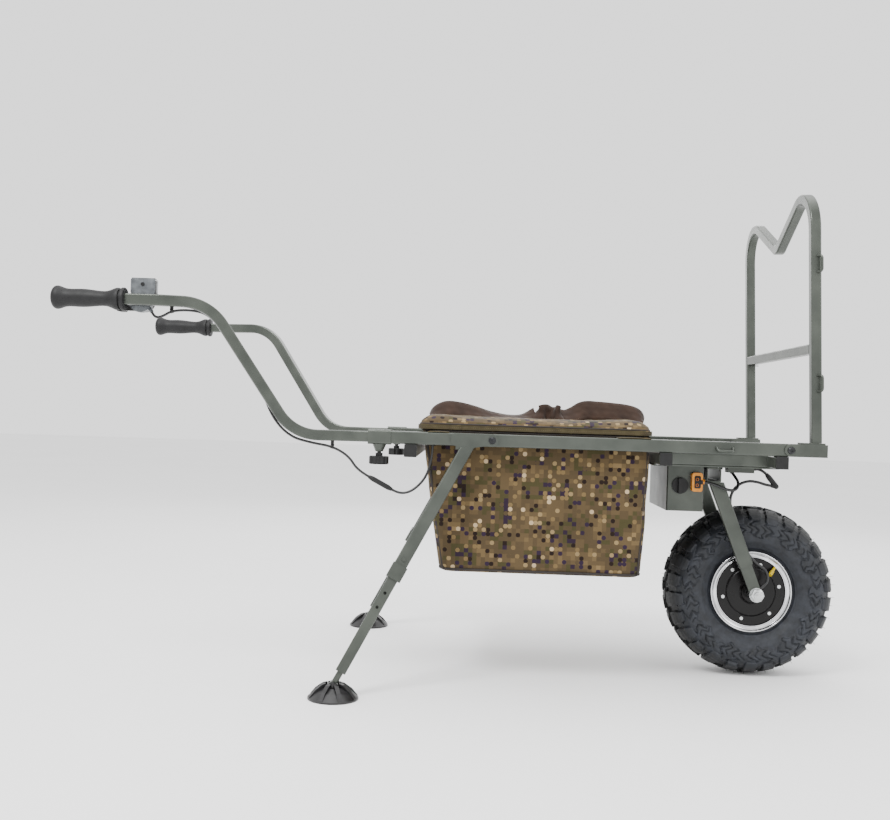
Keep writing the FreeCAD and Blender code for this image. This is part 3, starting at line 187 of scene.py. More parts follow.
def curve_piece(name: str, points: Route, radius: float, cyclic: bool = False) -> bpy.types.Object:
    """Make a smooth round-section curve along points.

    Args:
        name: the object's name.
        points: control points.
        radius: half the section's width.
        cyclic: whether the ends join.

    Returns:
        The curve object.
    """
    data = bpy.data.curves.new(name, "CURVE")
    data.dimensions = "3D"
    data.bevel_depth = radius
    data.bevel_resolution = 4
    data.use_fill_caps = True
    spline = data.splines.new("NURBS")
    spline.points.add(len(points) - 1)
    for place, point in zip(spline.points, points):
        place.co = (*point, 1.0)
    spline.order_u = 3
    spline.use_endpoint_u = not cyclic
    spline.resolution_u = 12
    spline.use_cyclic_u = cyclic
    return placed(name, data)


def rounded_outline(x: tuple[float, float], half_y: float, corner: float,
                    count: int) -> list[tuple[float, float]]:
    """Points evenly spaced round a rectangle with round corners.

    Args:
        x: lowest and highest X.
        half_y: half the width across.
        corner: corner radius.
        count: number of points.

    Returns:
        Pairs of X and Y, anticlockwise from the middle of the right end.
    """
    corner = max(min(corner, (x[1] - x[0]) / 2 - 1e-5, half_y - 1e-5), 1e-5)
    long_side, wide_side, turn = x[1] - x[0] - 2 * corner, 2 * (half_y - corner), corner * math.pi / 2
    lengths = [wide_side / 2, turn, long_side, turn, wide_side, turn, long_side, turn, wide_side / 2]
    centres = {1: (x[1] - corner, half_y - corner, 0), 3: (x[0] + corner, half_y - corner, 90),
               5: (x[0] + corner, corner - half_y, 180), 7: (x[1] - corner, corner - half_y, 270)}
    starts = {0: (x[1], 0.0, 0, 1), 2: (x[1] - corner, half_y, -1, 0), 4: (x[0], half_y - corner, 0, -1),
              6: (x[0] + corner, -half_y, 1, 0), 8: (x[1], corner - half_y, 0, 1)}
    points, total = [], sum(lengths)
    for k in range(count):
        along, part = total * k / count, 0
        while along > lengths[part] and part < len(lengths) - 1:
            along -= lengths[part]
            part += 1
        if part in centres:
            cx, cy, begin = centres[part]
            angle = math.radians(begin) + along / corner
            points.append((cx + corner * math.cos(angle), cy + corner * math.sin(angle)))
        else:
            sx, sy, dx, dy = starts[part]
            points.append((sx + dx * along, sy + dy * along))
    return points


def loft(name: str, rings: list[list[Vector]], closed_ends: bool = True) -> bpy.types.Object:
    """Join rings of equally many points into a skin, with a pole at each end if closed."""
    count = len(rings[0])
    points = [p for one in rings for p in one]
    faces = []
    for row in range(len(rings) - 1):
        for k in range(count):
            following = (k + 1) % count
            faces.append((row * count + k, row * count + following, (row + 1) * count + following,
                          (row + 1) * count + k))
    if closed_ends:
        for row in (0, len(rings) - 1):
            pole = len(points)
            points.append(sum(rings[row], Vector()) / count)
            faces += [(row * count + k, row * count + (k + 1) % count, pole) for k in range(count)]
    return mesh_piece(name, points, faces)


def crumple(point: Vector, size: float, seed: float) -> float:
    """A smooth repeatable value from about -1 to 1 that changes over a distance of size."""
    return noise.noise(Vector((point.x / size + seed, point.y / size - seed, point.z / size + 2 * seed)))


# ---- finishes --------------------------------------------------------------------------
@dataclass(frozen=True)
class Finish:
    """A finish with mottled colour, varied gloss and a fine relief."""
    name: str
    light: str
    dark: str
    gloss: tuple[float, float] = (0.35, 0.5)
    metallic: float = 0.0
    mottle: float = 40 * MM
    grain: float = 1.0 * MM
    relief: float = 0.02 * MM
    specular: float = 0.5
    sheen: float = 0.0

    def colour(self, tree: bpy.types.NodeTree, place: bpy.types.NodeSocket) -> bpy.types.NodeSocket:
        """The base colour's socket."""
        spots = add(tree, "ShaderNodeTexNoise", {"Vector": place, "Scale": 1 / self.mottle, "Detail": 5.0})
        return ramp(tree, spots.outputs["Fac"], [(0.3, self.dark), (0.7, self.light)])

    def height(self, tree: bpy.types.NodeTree, place: bpy.types.NodeSocket) -> bpy.types.NodeSocket:
        """The relief's socket, from 0 to 1."""
        grain = add(tree, "ShaderNodeTexNoise", {"Vector": place, "Scale": 1 / self.grain, "Detail": 2.0})
        return grain.outputs["Fac"]

    def place(self, tree: bpy.types.NodeTree) -> bpy.types.NodeSocket:
        """The coordinates that the patterns read, in metres."""
        return add(tree, "ShaderNodeTexCoord").outputs["Object"]

    def material(self) -> bpy.types.Material:
        """Build the material, or return it if it is already there."""
        if self.name in bpy.data.materials:
            return bpy.data.materials[self.name]
        made = bpy.data.materials.new(self.name)
        made.use_nodes = True
        tree = made.node_tree
        tree.nodes.clear()
        place = self.place(tree)
        wear = add(tree, "ShaderNodeTexNoise", {"Vector": place, "Scale": 1.7 / self.mottle, "Detail": 6.0})
        rough = add(tree, "ShaderNodeMapRange", {"Value": wear.outputs["Fac"], "To Min": self.gloss[0],
                                                 "To Max": self.gloss[1]})
        bump = add(tree, "ShaderNodeBump", {"Height": self.height(tree, place), "Distance": self.relief,
                                            "Strength": 1.0})
        shader = add(tree, "ShaderNodeBsdfPrincipled",
                     {"Base Color": self.colour(tree, place), "Roughness": rough.outputs["Result"],
                      "Normal": bump.outputs["Normal"], "Metallic": self.metallic,
                      "Specular IOR Level": self.specular, "Sheen Weight": self.sheen})
        self.extras(shader)
        add(tree, "ShaderNodeOutputMaterial", {"Surface": shader.outputs["BSDF"]})
        return made

    def extras(self, shader: bpy.types.Node) -> None:
        """Set what this finish alone has on its shader."""


@dataclass(frozen=True)
class TyreRubber(Finish):
    """Carbon-black rubber that has a dusty blue-grey bloom on the sidewall and is darker on the tread."""
    hub: tuple[float, float] = (0.6135, 0.18)
    tread_starts: float = 0.148

    def colour(self, tree: bpy.types.NodeTree, place: bpy.types.NodeSocket) -> bpy.types.NodeSocket:
        """Bloom on the sidewall, fading to the tread."""
        centred = add(tree, "ShaderNodeMapping", {"Vector": place,
                                                  "Location": (-self.hub[0], 0, -self.hub[1]),
                                                  "Scale": (1, 0, 1)})
        away = add(tree, "ShaderNodeVectorMath", {0: centred.outputs["Vector"]}, operation="LENGTH")
        tread = add(tree, "ShaderNodeMapRange", {"Value": away.outputs["Value"],
                                                 "From Min": self.tread_starts,
                                                 "From Max": self.tread_starts + 0.02})
        dust = add(tree, "ShaderNodeTexNoise", {"Vector": place, "Scale": 1 / self.mottle, "Detail": 7.0,
                                                "Roughness": 0.65})
        side = ramp(tree, dust.outputs["Fac"], [(0.3, self.dark), (0.72, self.light)])
        crown = ramp(tree, dust.outputs["Fac"], [(0.35, "#0e0f10"), (0.75, "#1d1e20")])
        mixed = add(tree, "ShaderNodeMixRGB", {0: tread.outputs["Result"], 1: side, 2: crown})
        return mixed.outputs[0]


@dataclass(frozen=True)
class CamouflageCloth(Finish):
    """Printed polyester, whose print is made of square cells and round dots 8.5 mm apart."""
    cell: float = 8.5 * MM
    # scales the whole print; above 1 it paints light onto the cloth as a painted highlight
    painted_brightness: float = 1.0
    weave: float = 3.2 * math.pi * MM
    sheen: float = 0.06

    def place(self, tree: bpy.types.NodeTree) -> bpy.types.NodeSocket:
        """The cloth's own metres."""
        return add(tree, "ShaderNodeTexCoord").outputs["UV"]

    def colour(self, tree: bpy.types.NodeTree, place: bpy.types.NodeSocket) -> bpy.types.NodeSocket:
        """Blotches in steps of one cell, with loose round dots that are darker or lighter."""
        middle = add(tree, "ShaderNodeVectorMath", {0: place, 1: (self.cell,) * 3}, operation="SNAP")
        blotch = add(tree, "ShaderNodeTexNoise", {"Vector": middle.outputs["Vector"], "Scale": 1 / (46 * MM),
                                                  "Detail": 3.0, "Roughness": 0.75})
        base = ramp(tree, blotch.outputs["Fac"],
                    [(0.0, self.dark), (0.34, "#261a28"), (0.4, "#3b3620"), (0.45, "#453927"),
                     (0.52, "#4f412c"),
                     (0.6, "#5c4c33"), (0.67, self.light)], stepped=True)
        dots = add(tree, "ShaderNodeTexWhiteNoise", {"Vector": middle.outputs["Vector"]})
        dot_colour = ramp(tree, dots.outputs["Value"],
                          [(0.0, "#1c120d"), (0.06, "#271b2b"), (0.14, "#453927"), (0.88, "#665437"),
                           (0.94, "#7d6a4a"), (0.98, "#a38f70")], stepped=True)
        from_middle = maths(tree, "ABSOLUTE", maths(tree, "SUBTRACT", dots.outputs["Value"], 0.48))
        loose = maths(tree, "GREATER_THAN", from_middle, 0.36)
        offset = add(tree, "ShaderNodeVectorMath", {0: place, 1: middle.outputs["Vector"]},
                     operation="SUBTRACT")
        inside = add(tree, "ShaderNodeVectorMath", {0: offset.outputs["Vector"],
                                                    1: (self.cell / 2, self.cell / 2, 0)},
                     operation="SUBTRACT")
        away = add(tree, "ShaderNodeVectorMath", {0: inside.outputs["Vector"]}, operation="LENGTH")
        round_cell = maths(tree, "LESS_THAN", away.outputs["Value"], self.cell * 0.53)
        shown = maths(tree, "MULTIPLY", loose, round_cell)
        print_colour = add(tree, "ShaderNodeMixRGB", {0: shown, 1: base, 2: dot_colour})
        fade = add(tree, "ShaderNodeTexNoise", {"Vector": place, "Scale": 1 / (90 * MM), "Detail": 3.0})
        # random tone over about 90 mm, times the level of painted light
        level = add(tree, "ShaderNodeMapRange", {"Value": fade.outputs["Fac"],
                                                 "To Min": 0.75 * self.painted_brightness,
                                                 "To Max": 1.15 * self.painted_brightness})
        shaded = add(tree, "ShaderNodeHueSaturation", {"Value": level.outputs["Result"],
                                                       "Color": print_colour.outputs[0]})
        return shaded.outputs["Color"]

    def height(self, tree: bpy.types.NodeTree, place: bpy.types.NodeSocket) -> bpy.types.NodeSocket:
        """Plain weave that repeats about every 10 mm, far coarser than thread."""
        across = add(tree, "ShaderNodeTexWave", {"Vector": place, "Scale": band_scale(self.weave),
                                                 "Distortion": 0.4},
                     bands_direction="X")
        up = add(tree, "ShaderNodeTexWave", {"Vector": place, "Scale": band_scale(self.weave),
                                             "Distortion": 0.4},
                 bands_direction="Y")
        return maths(tree, "MULTIPLY", across.outputs["Fac"], up.outputs["Fac"])


@dataclass(frozen=True)
class Webbing(Finish):
    """Woven strapping with lengthwise ribs about 15 mm apart, on the piece's own UV map in metres."""
    rib: float = 4.8 * math.pi * MM
    sheen: float = 0.08

    def place(self, tree: bpy.types.NodeTree) -> bpy.types.NodeSocket:
        """The strap's own lengthwise and crosswise metres."""
        return add(tree, "ShaderNodeTexCoord").outputs["UV"]

    def height(self, tree: bpy.types.NodeTree, place: bpy.types.NodeSocket) -> bpy.types.NodeSocket:
        """Ribs along the strap with a twill across them."""
        ribs = add(tree, "ShaderNodeTexWave", {"Vector": place, "Scale": band_scale(self.rib),
                                               "Distortion": 0.2},
                   bands_direction="Y")
        twill = add(tree, "ShaderNodeTexWave", {"Vector": place, "Scale": band_scale(0.7 * self.rib),
                                                "Distortion": 0.2},
                    bands_direction="DIAGONAL")
        return maths(tree, "ADD", ribs.outputs["Fac"], twill.outputs["Fac"])


@dataclass(frozen=True)
class ClearWindow(Finish):
    """Tinted acrylic over the battery gauge."""

    def extras(self, shader: bpy.types.Node) -> None:
        """Clear, with acrylic's index."""
        shader.inputs["Transmission Weight"].default_value = 0.6
        shader.inputs["IOR"].default_value = 1.49


class Coat(Enum):
    """The finishes of the barrow, by what they are."""
    # semi-gloss powder coat over steel: a faint orange peel and a dull sheen
    POWDER = Finish("semi_gloss_powder_coat", "#4c504a", "#3a3e39", (0.24, 0.38), 0.55, 60 * MM, 0.9 * MM,
                    0.03 * MM)
    # bright zinc plate: clean, slightly blue, with handling marks
    ZINC = Finish("bright_zinc_plate", "#c9cbcb", "#a3a5a4", (0.18, 0.34), 1.0, 8 * MM, 0.4 * MM, 0.01 * MM)
    # black oxide over steel: dark, oily and smooth
    OXIDE = Finish("black_oxide_steel", "#3c3d3e", "#262728", (0.22, 0.36), 0.85, 6 * MM, 0.4 * MM, 0.01 * MM)
    # polished chromed rim: mirror-like with faint smears
    CHROME = Finish("chromed_steel_rim", "#d4d4d6", "#b8b8ba", (0.05, 0.14), 1.0, 25 * MM, 2 * MM, 0.004 * MM)
    # gloss black paint on cast aluminium: deep black under a clear gloss
    COVER = Finish("gloss_black_paint", "#0c0b0b", "#070606", (0.2, 0.32), 0.0, 30 * MM, 1.2 * MM,
                   0.01 * MM, specular=0.22)
    TYRE = TyreRubber("carbon_black_tyre_rubber", "#2a2d34", "#121417", (0.45, 0.68), 0.0, 18 * MM,
                      0.8 * MM, 0.06 * MM,
                      specular=0.35)
    # moulded rubber grip: charcoal, almost matt, with a fine pebble
    GRIP = Finish("moulded_grip_rubber", "#161617", "#0d0d0e", (0.48, 0.62), 0.0, 14 * MM, 0.7 * MM,
                  0.08 * MM, specular=0.3)
    FOOT = Finish("moulded_foot_rubber", "#1b1a1c", "#0c0c0c", (0.3, 0.5), 0.0, 10 * MM, 0.9 * MM, 0.05 * MM)
    # glass-filled nylon: matt black with a spark-eroded texture
    NYLON = Finish("black_glass_filled_nylon", "#151515", "#0c0c0c", (0.4, 0.55), 0.0, 12 * MM, 0.5 * MM,
                   0.05 * MM, specular=0.3)
    # silver painted ABS of the throttle
    SILVER = Finish("silver_painted_abs", "#6f7376", "#4c4f52", (0.26, 0.4), 0.5, 15 * MM, 0.4 * MM,
                    0.01 * MM)
    CONNECTOR = Finish("yellow_nylon_connector", "#d98a0c", "#b76d06", (0.35, 0.5), 0.0, 8 * MM, 0.5 * MM,
                       0.02 * MM)
    VALVE = Finish("yellow_valve_cap", "#c9ac00", "#a58b00", (0.35, 0.5), 0.0, 4 * MM, 0.4 * MM, 0.02 * MM)
    LENS = ClearWindow("tinted_acrylic_window", "#2b2f33", "#1f2326", (0.04, 0.08), 0.0)
    JACKET = Finish("pvc_cable_jacket", "#131314", "#0b0b0c", (0.3, 0.45), 0.0, 9 * MM, 0.8 * MM, 0.02 * MM)
    CASTING = Finish("die_cast_aluminium", "#8f9091", "#747576", (0.4, 0.55), 1.0, 20 * MM, 0.6 * MM,
                     0.04 * MM)
    WRAP = Finish("blue_battery_wrap", "#2b5fae", "#214c8d", (0.25, 0.4), 0.0, 30 * MM, 3 * MM, 0.05 * MM)
    COPPER = Finish("enamelled_copper_wire", "#b8713d", "#8f5128", (0.2, 0.35), 1.0, 4 * MM, 0.6 * MM,
                    0.05 * MM)
    IRON = Finish("laminated_motor_iron", "#7d7d7d", "#5c5c5c", (0.4, 0.6), 1.0, 10 * MM, 0.5 * MM, 0.02 * MM)
    CLOTH = CamouflageCloth("printed_polyester_cloth", "#6e5b3e", "#1b120d", (0.75, 0.9), 0.0, 40 * MM,
                            1.6 * MM, 0.12 * MM,
                            specular=0.12)
    # the lid's cloth: the pouch's print made 10% brighter, a painted highlight where the lid's top catches the
    # light
    LIT_LID_CLOTH = CamouflageCloth("printed_lid_cloth_painted_highlight", "#6e5b3e", "#1b120d", (0.75, 0.9), 0.0, 40 * MM,
                                1.6 * MM,
                                0.12 * MM, specular=0.12, painted_brightness=1.1)
    # bias-bound edge tape: dark brown, folded over the seam
    PIPING = Finish("brown_binding_tape", "#221912", "#15100c", (0.7, 0.85), 0.0, 12 * MM, 0.8 * MM, 0.1 * MM)
    WEBBING = Webbing("ribbed_brown_webbing", "#33241b", "#241811", (0.65, 0.8), 0.0, 30 * MM, 2.4 * MM,
                      0.35 * MM, specular=0.15)
    HEM = Webbing("olive_hem_webbing", "#4a432d", "#373021", (0.65, 0.8), 0.0, 30 * MM, 2.4 * MM, 0.3 * MM,
                  specular=0.15)
    THREAD = Finish("sewing_thread", "#6b5a3f", "#524430", (0.6, 0.7), 0.0, 3 * MM, 0.4 * MM, 0.05 * MM)
    FLOOR = Finish("pale_studio_floor", "#f4f4f4", "#f1f1f1", (0.8, 0.9), 0.0, 900 * MM, 60 * MM, 0.01 * MM)

    def made(self) -> bpy.types.Material:
        """This finish's material."""
        return self.value.material()


# ---- repeating details -----------------------------------------------------------------
def nodes_piece(piece: bpy.types.Object, tree: bpy.types.NodeTree,
                values: dict[str, object]) -> bpy.types.Object:
    """Run a Geometry Nodes tree on a piece and keep the result as a plain mesh.

    Args:
        piece: the object whose geometry the tree starts from.
        tree: the tree.
        values: input name to value.

    Returns:
        The finished piece, under the same name.
    """
    modifier = piece.modifiers.new(tree.name, "NODES")
    modifier.node_group = tree
    for item in tree.interface.items_tree:
        if item.item_type == "SOCKET" and item.in_out == "INPUT" and item.name in values:
            modifier[item.identifier] = values[item.name]
    return settled(piece)


def new_tree(name: str, sizes: dict[str, str]) -> tuple[bpy.types.NodeTree, bpy.types.Node]:
    """Start a Geometry Nodes tree with a geometry input and named sizes.

    Args:
        name: the tree's name.
        sizes: input name to socket type.

    Returns:
        The tree and its group input node.
    """
    tree = bpy.data.node_groups.new(name, "GeometryNodeTree")
    tree.interface.new_socket("Geometry", in_out="INPUT", socket_type="NodeSocketGeometry")
    for label, kind in sizes.items():
        tree.interface.new_socket(label, in_out="INPUT", socket_type=kind)
    tree.interface.new_socket("Geometry", in_out="OUTPUT", socket_type="NodeSocketGeometry")
    return tree, add(tree, "NodeGroupInput")


def end_tree(tree: bpy.types.NodeTree, entry: bpy.types.Node,
             instances: bpy.types.NodeSocket) -> bpy.types.NodeTree:
    """End a tree in Realize Instances and Set Material."""
    real = add(tree, "GeometryNodeRealizeInstances", {"Geometry": instances})
    dressed = add(tree, "GeometryNodeSetMaterial", {"Geometry": real.outputs["Geometry"],
                                                    "Material": entry.outputs["Material"]})
    add(tree, "NodeGroupOutput", {"Geometry": dressed.outputs["Geometry"]})
    return tree


def wheel_copies_tree() -> bpy.types.NodeTree:
    """Copies of the piece round an axis along Y, each turned by its share and a small random part."""
    tree, entry = new_tree("copies_round_wheel", {"Count": "NodeSocketInt", "Centre": "NodeSocketVector",
                                                  "Start": "NodeSocketFloat", "Jitter": "NodeSocketFloat",
                                                  "Seed": "NodeSocketInt", "Material": "NodeSocketMaterial"})
    line = add(tree, "GeometryNodeMeshLine", {"Count": entry.outputs["Count"], "Start Location": (0, 0, 0),
                                              "Offset": (0, 0, 0)})
    moved = add(tree, "GeometryNodeSetPosition", {"Geometry": line.outputs["Mesh"],
                                                  "Position": entry.outputs["Centre"]})
    index = add(tree, "GeometryNodeInputIndex")
    share = maths(tree, "DIVIDE", 2 * math.pi, entry.outputs["Count"])
    angle = maths(tree, "MULTIPLY_ADD", index.outputs[0], share, entry.outputs["Start"])
    chance = add(tree, "FunctionNodeRandomValue", {"Seed": entry.outputs["Seed"]}, data_type="FLOAT")
    floats = [s for s in chance.inputs if s.type == "VALUE" and s.name in ("Min", "Max")]
    floats[0].default_value = -1.0
    floats[1].default_value = 1.0
    value = [s for s in chance.outputs if s.type == "VALUE"][0]
    extra = maths(tree, "MULTIPLY_ADD", value, entry.outputs["Jitter"], angle)
    turn = add(tree, "ShaderNodeCombineXYZ", {"Y": extra})
    copies = add(tree, "GeometryNodeInstanceOnPoints", {"Points": moved.outputs["Geometry"],
                                                        "Instance": entry.outputs["Geometry"],
                                                        "Rotation": turn.outputs[0]})
    return end_tree(tree, entry, copies.outputs["Instances"])


def path_copies_tree() -> bpy.types.NodeTree:
    """Small faceted beads at a pitch along the piece's edges, turned to follow them."""
    tree, entry = new_tree("blocks_along_path", {"Pitch": "NodeSocketFloat", "Block": "NodeSocketVector",
                                                 "Material": "NodeSocketMaterial"})
    line = add(tree, "GeometryNodeMeshToCurve", {"Mesh": entry.outputs["Geometry"]})
    even = add(tree, "GeometryNodeResampleCurve", {"Curve": line.outputs["Curve"],
                                                   "Length": entry.outputs["Pitch"]}, mode="LENGTH")
    tangent = add(tree, "GeometryNodeInputTangent")
    turn = add(tree, "FunctionNodeAlignRotationToVector", {"Vector": tangent.outputs[0]}, axis="X")
    block = add(tree, "GeometryNodeMeshIcoSphere", {"Radius": 0.5, "Subdivisions": 1})
    copies = add(tree, "GeometryNodeInstanceOnPoints", {"Points": even.outputs["Curve"],
                                                        "Instance": block.outputs["Mesh"],
                                                        "Rotation": turn.outputs[0],
                                                        "Scale": entry.outputs["Block"]})
    return end_tree(tree, entry, copies.outputs["Instances"])


def path_piece(name: str, points: list, tree: bpy.types.NodeTree, pitch: float, block: Point,
               coat: Coat, closed: bool = False) -> bpy.types.Object:
    """Blocks along a line of points.

    Args:
        name: the piece's name.
        points: the line.
        tree: the tree from path_copies_tree.
        pitch: distance from one block to the next.
        block: each block's length, width and height.
        coat: the finish.
        closed: whether the line ends where it starts.

    Returns:
        The finished mesh.
    """
    data = bpy.data.meshes.new(name)
    edges = [(k, k + 1) for k in range(len(points) - 1)] + ([(len(points) - 1, 0)] if closed else [])
    data.from_pydata([tuple(p) for p in points], edges, [])
    line = placed(name, data)
    return nodes_piece(line, tree, {"Pitch": pitch, "Block": block, "Material": coat.made()})


# ---- studio ----------------------------------------------------------------------------
@dataclass
class Studio:
    """Camera, pale floor and soft lights."""
    eye: Point = (0.00785, -2.4, 0.53768)
    right: Point = (0.99916955, 0.02478946, 0.03233722)
    up: Point = (-0.03224028, -0.00430026, 0.9994709)
    ahead: Point = (-0.02491541, 0.99968345, 0.00349747)
    lens: float = 44.35
    floor_size: float = 30.0

    def camera(self) -> None:
        """Place the camera."""
        data = bpy.data.cameras.new("camera")
        data.lens = self.lens
        data.sensor_width = 36.0
        data.dof.use_dof = False
        made = placed("camera", data)
        turn = Matrix((self.right, self.up, [-c for c in self.ahead])).transposed()
        made.matrix_world = Matrix.Translation(self.eye) @ turn.to_4x4()
        bpy.context.scene.camera = made

    def room(self) -> None:
        """Floor, backdrop light and soft boxes."""
        half = self.floor_size / 2
        floor = mesh_piece("floor", [(-half, -half, 0), (half, -half, 0), (half, half, 0), (-half, half, 0)],
                           [(0, 1, 2, 3)], smooth=False)
        floor.data.materials.append(Coat.FLOOR.made())
        world = bpy.data.worlds.new("white_room")
        world.use_nodes = True
        back = world.node_tree.nodes["Background"]
        back.inputs["Color"].default_value = (1, 1, 1, 1)
        back.inputs["Strength"].default_value = 1.7
        bpy.context.scene.world = world
        for name, place, size, power in (("key", (-1.2, -2.2, 3.2), 1.2, 130.0),
                                         ("fill", (2.6, -2.0, 1.8), 1.6, 30.0),
                                         ("top", (0.2, 0.4, 3.4), 3.0, 60.0),
                                         ("rear", (0.5, 3.0, 2.0), 2.0, 30.0)):
            lamp = bpy.data.lights.new(name, "AREA")
            lamp.energy = power
            lamp.size = size
            made = placed(name, lamp)
            made.location = place
            aim = Vector((0.1, 0.0, 0.4)) - Vector(place)
            made.rotation_euler = aim.to_track_quat("-Z", "Y").to_euler()


# ---- leads -----------------------------------------------------------------------------
@dataclass
class Leads:
    """The free cables, on the same routes as their CAD tubes."""
    thin: float = 5.0 * MM
    thick: float = 6.0 * MM
    upper: Route = field(default_factory=lambda: [
        (-610, -320, 714), (-604, -320.5, 703), (-588, -324, 706), (-570, -327, 717), (-540, -312, 721),
        (-509, -303, 716), (-480, -296, 688), (-440, -285.5, 631), (-403, -274, 574), (-381, -274.3, 520),
        (-346, -273, 484), (-305, -264, 473), (-264, -257, 467), (-231, -257, 449), (-213, -262, 422.5),
        (-190, -262, 410.5)])
    lower: Route = field(default_factory=lambda: [
        (-67.5, -249, 476), (-68, -249.5, 459), (-71, -252.5, 436), (-80, -257, 411), (-96, -260, 392),
        (-114, -261.5, 381), (-132.5, -262, 380.5), (-144, -262, 386.5)])
    motor: Route = field(default_factory=lambda: [
        (622, -76, 188.5), (636, -76, 199), (642, -76.5, 216), (634, -77, 233), (616, -77, 243),
        (597, -76.8, 262), (577, -77, 299), (563, -77, 334), (556, -78, 364), (556, -81, 388),
        (568, -84, 408),
        (589, -86, 418), (611, -88, 416), (625, -90.5, 411), (637, -93, 409.5)])
    battery: Route = field(default_factory=lambda: [
        (492.5, -119, 414), (511, -121, 411), (532, -120, 402), (552, -114, 397), (565, -104, 403),
        (568, -94, 416), (562, -84, 427), (558, -78, 434)])

    def build(self) -> None:
        """Make each cable on its body, log it and hide its CAD tube."""
        rows = (("upper", "throttle_lead_upper", "right_handle", self.thin, 0.5798, "connector",
                 ["lead_plug"]),
                ("lower", "throttle_lead_lower", "chassis", self.thin, 0.1439, "connector", ["lead_socket"]),
                ("motor", "motor_lead", "chassis", self.thick, 0.329, "connector",
                 ["motor_lead_plug", "controller_lead"]),
                ("battery", "battery_lead", "chassis", self.thick, 0.1215, "object", []))
        for route, node, body, width, length, far_end, along in rows:
            points = [(x * MM, y * MM, z * MM) for x, y, z in getattr(self, route)]
            cable = curve_piece(f"{node}_cable", points, width / 2)
            finish_piece(cable, Coat.JACKET.made(), body)
            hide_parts(node)


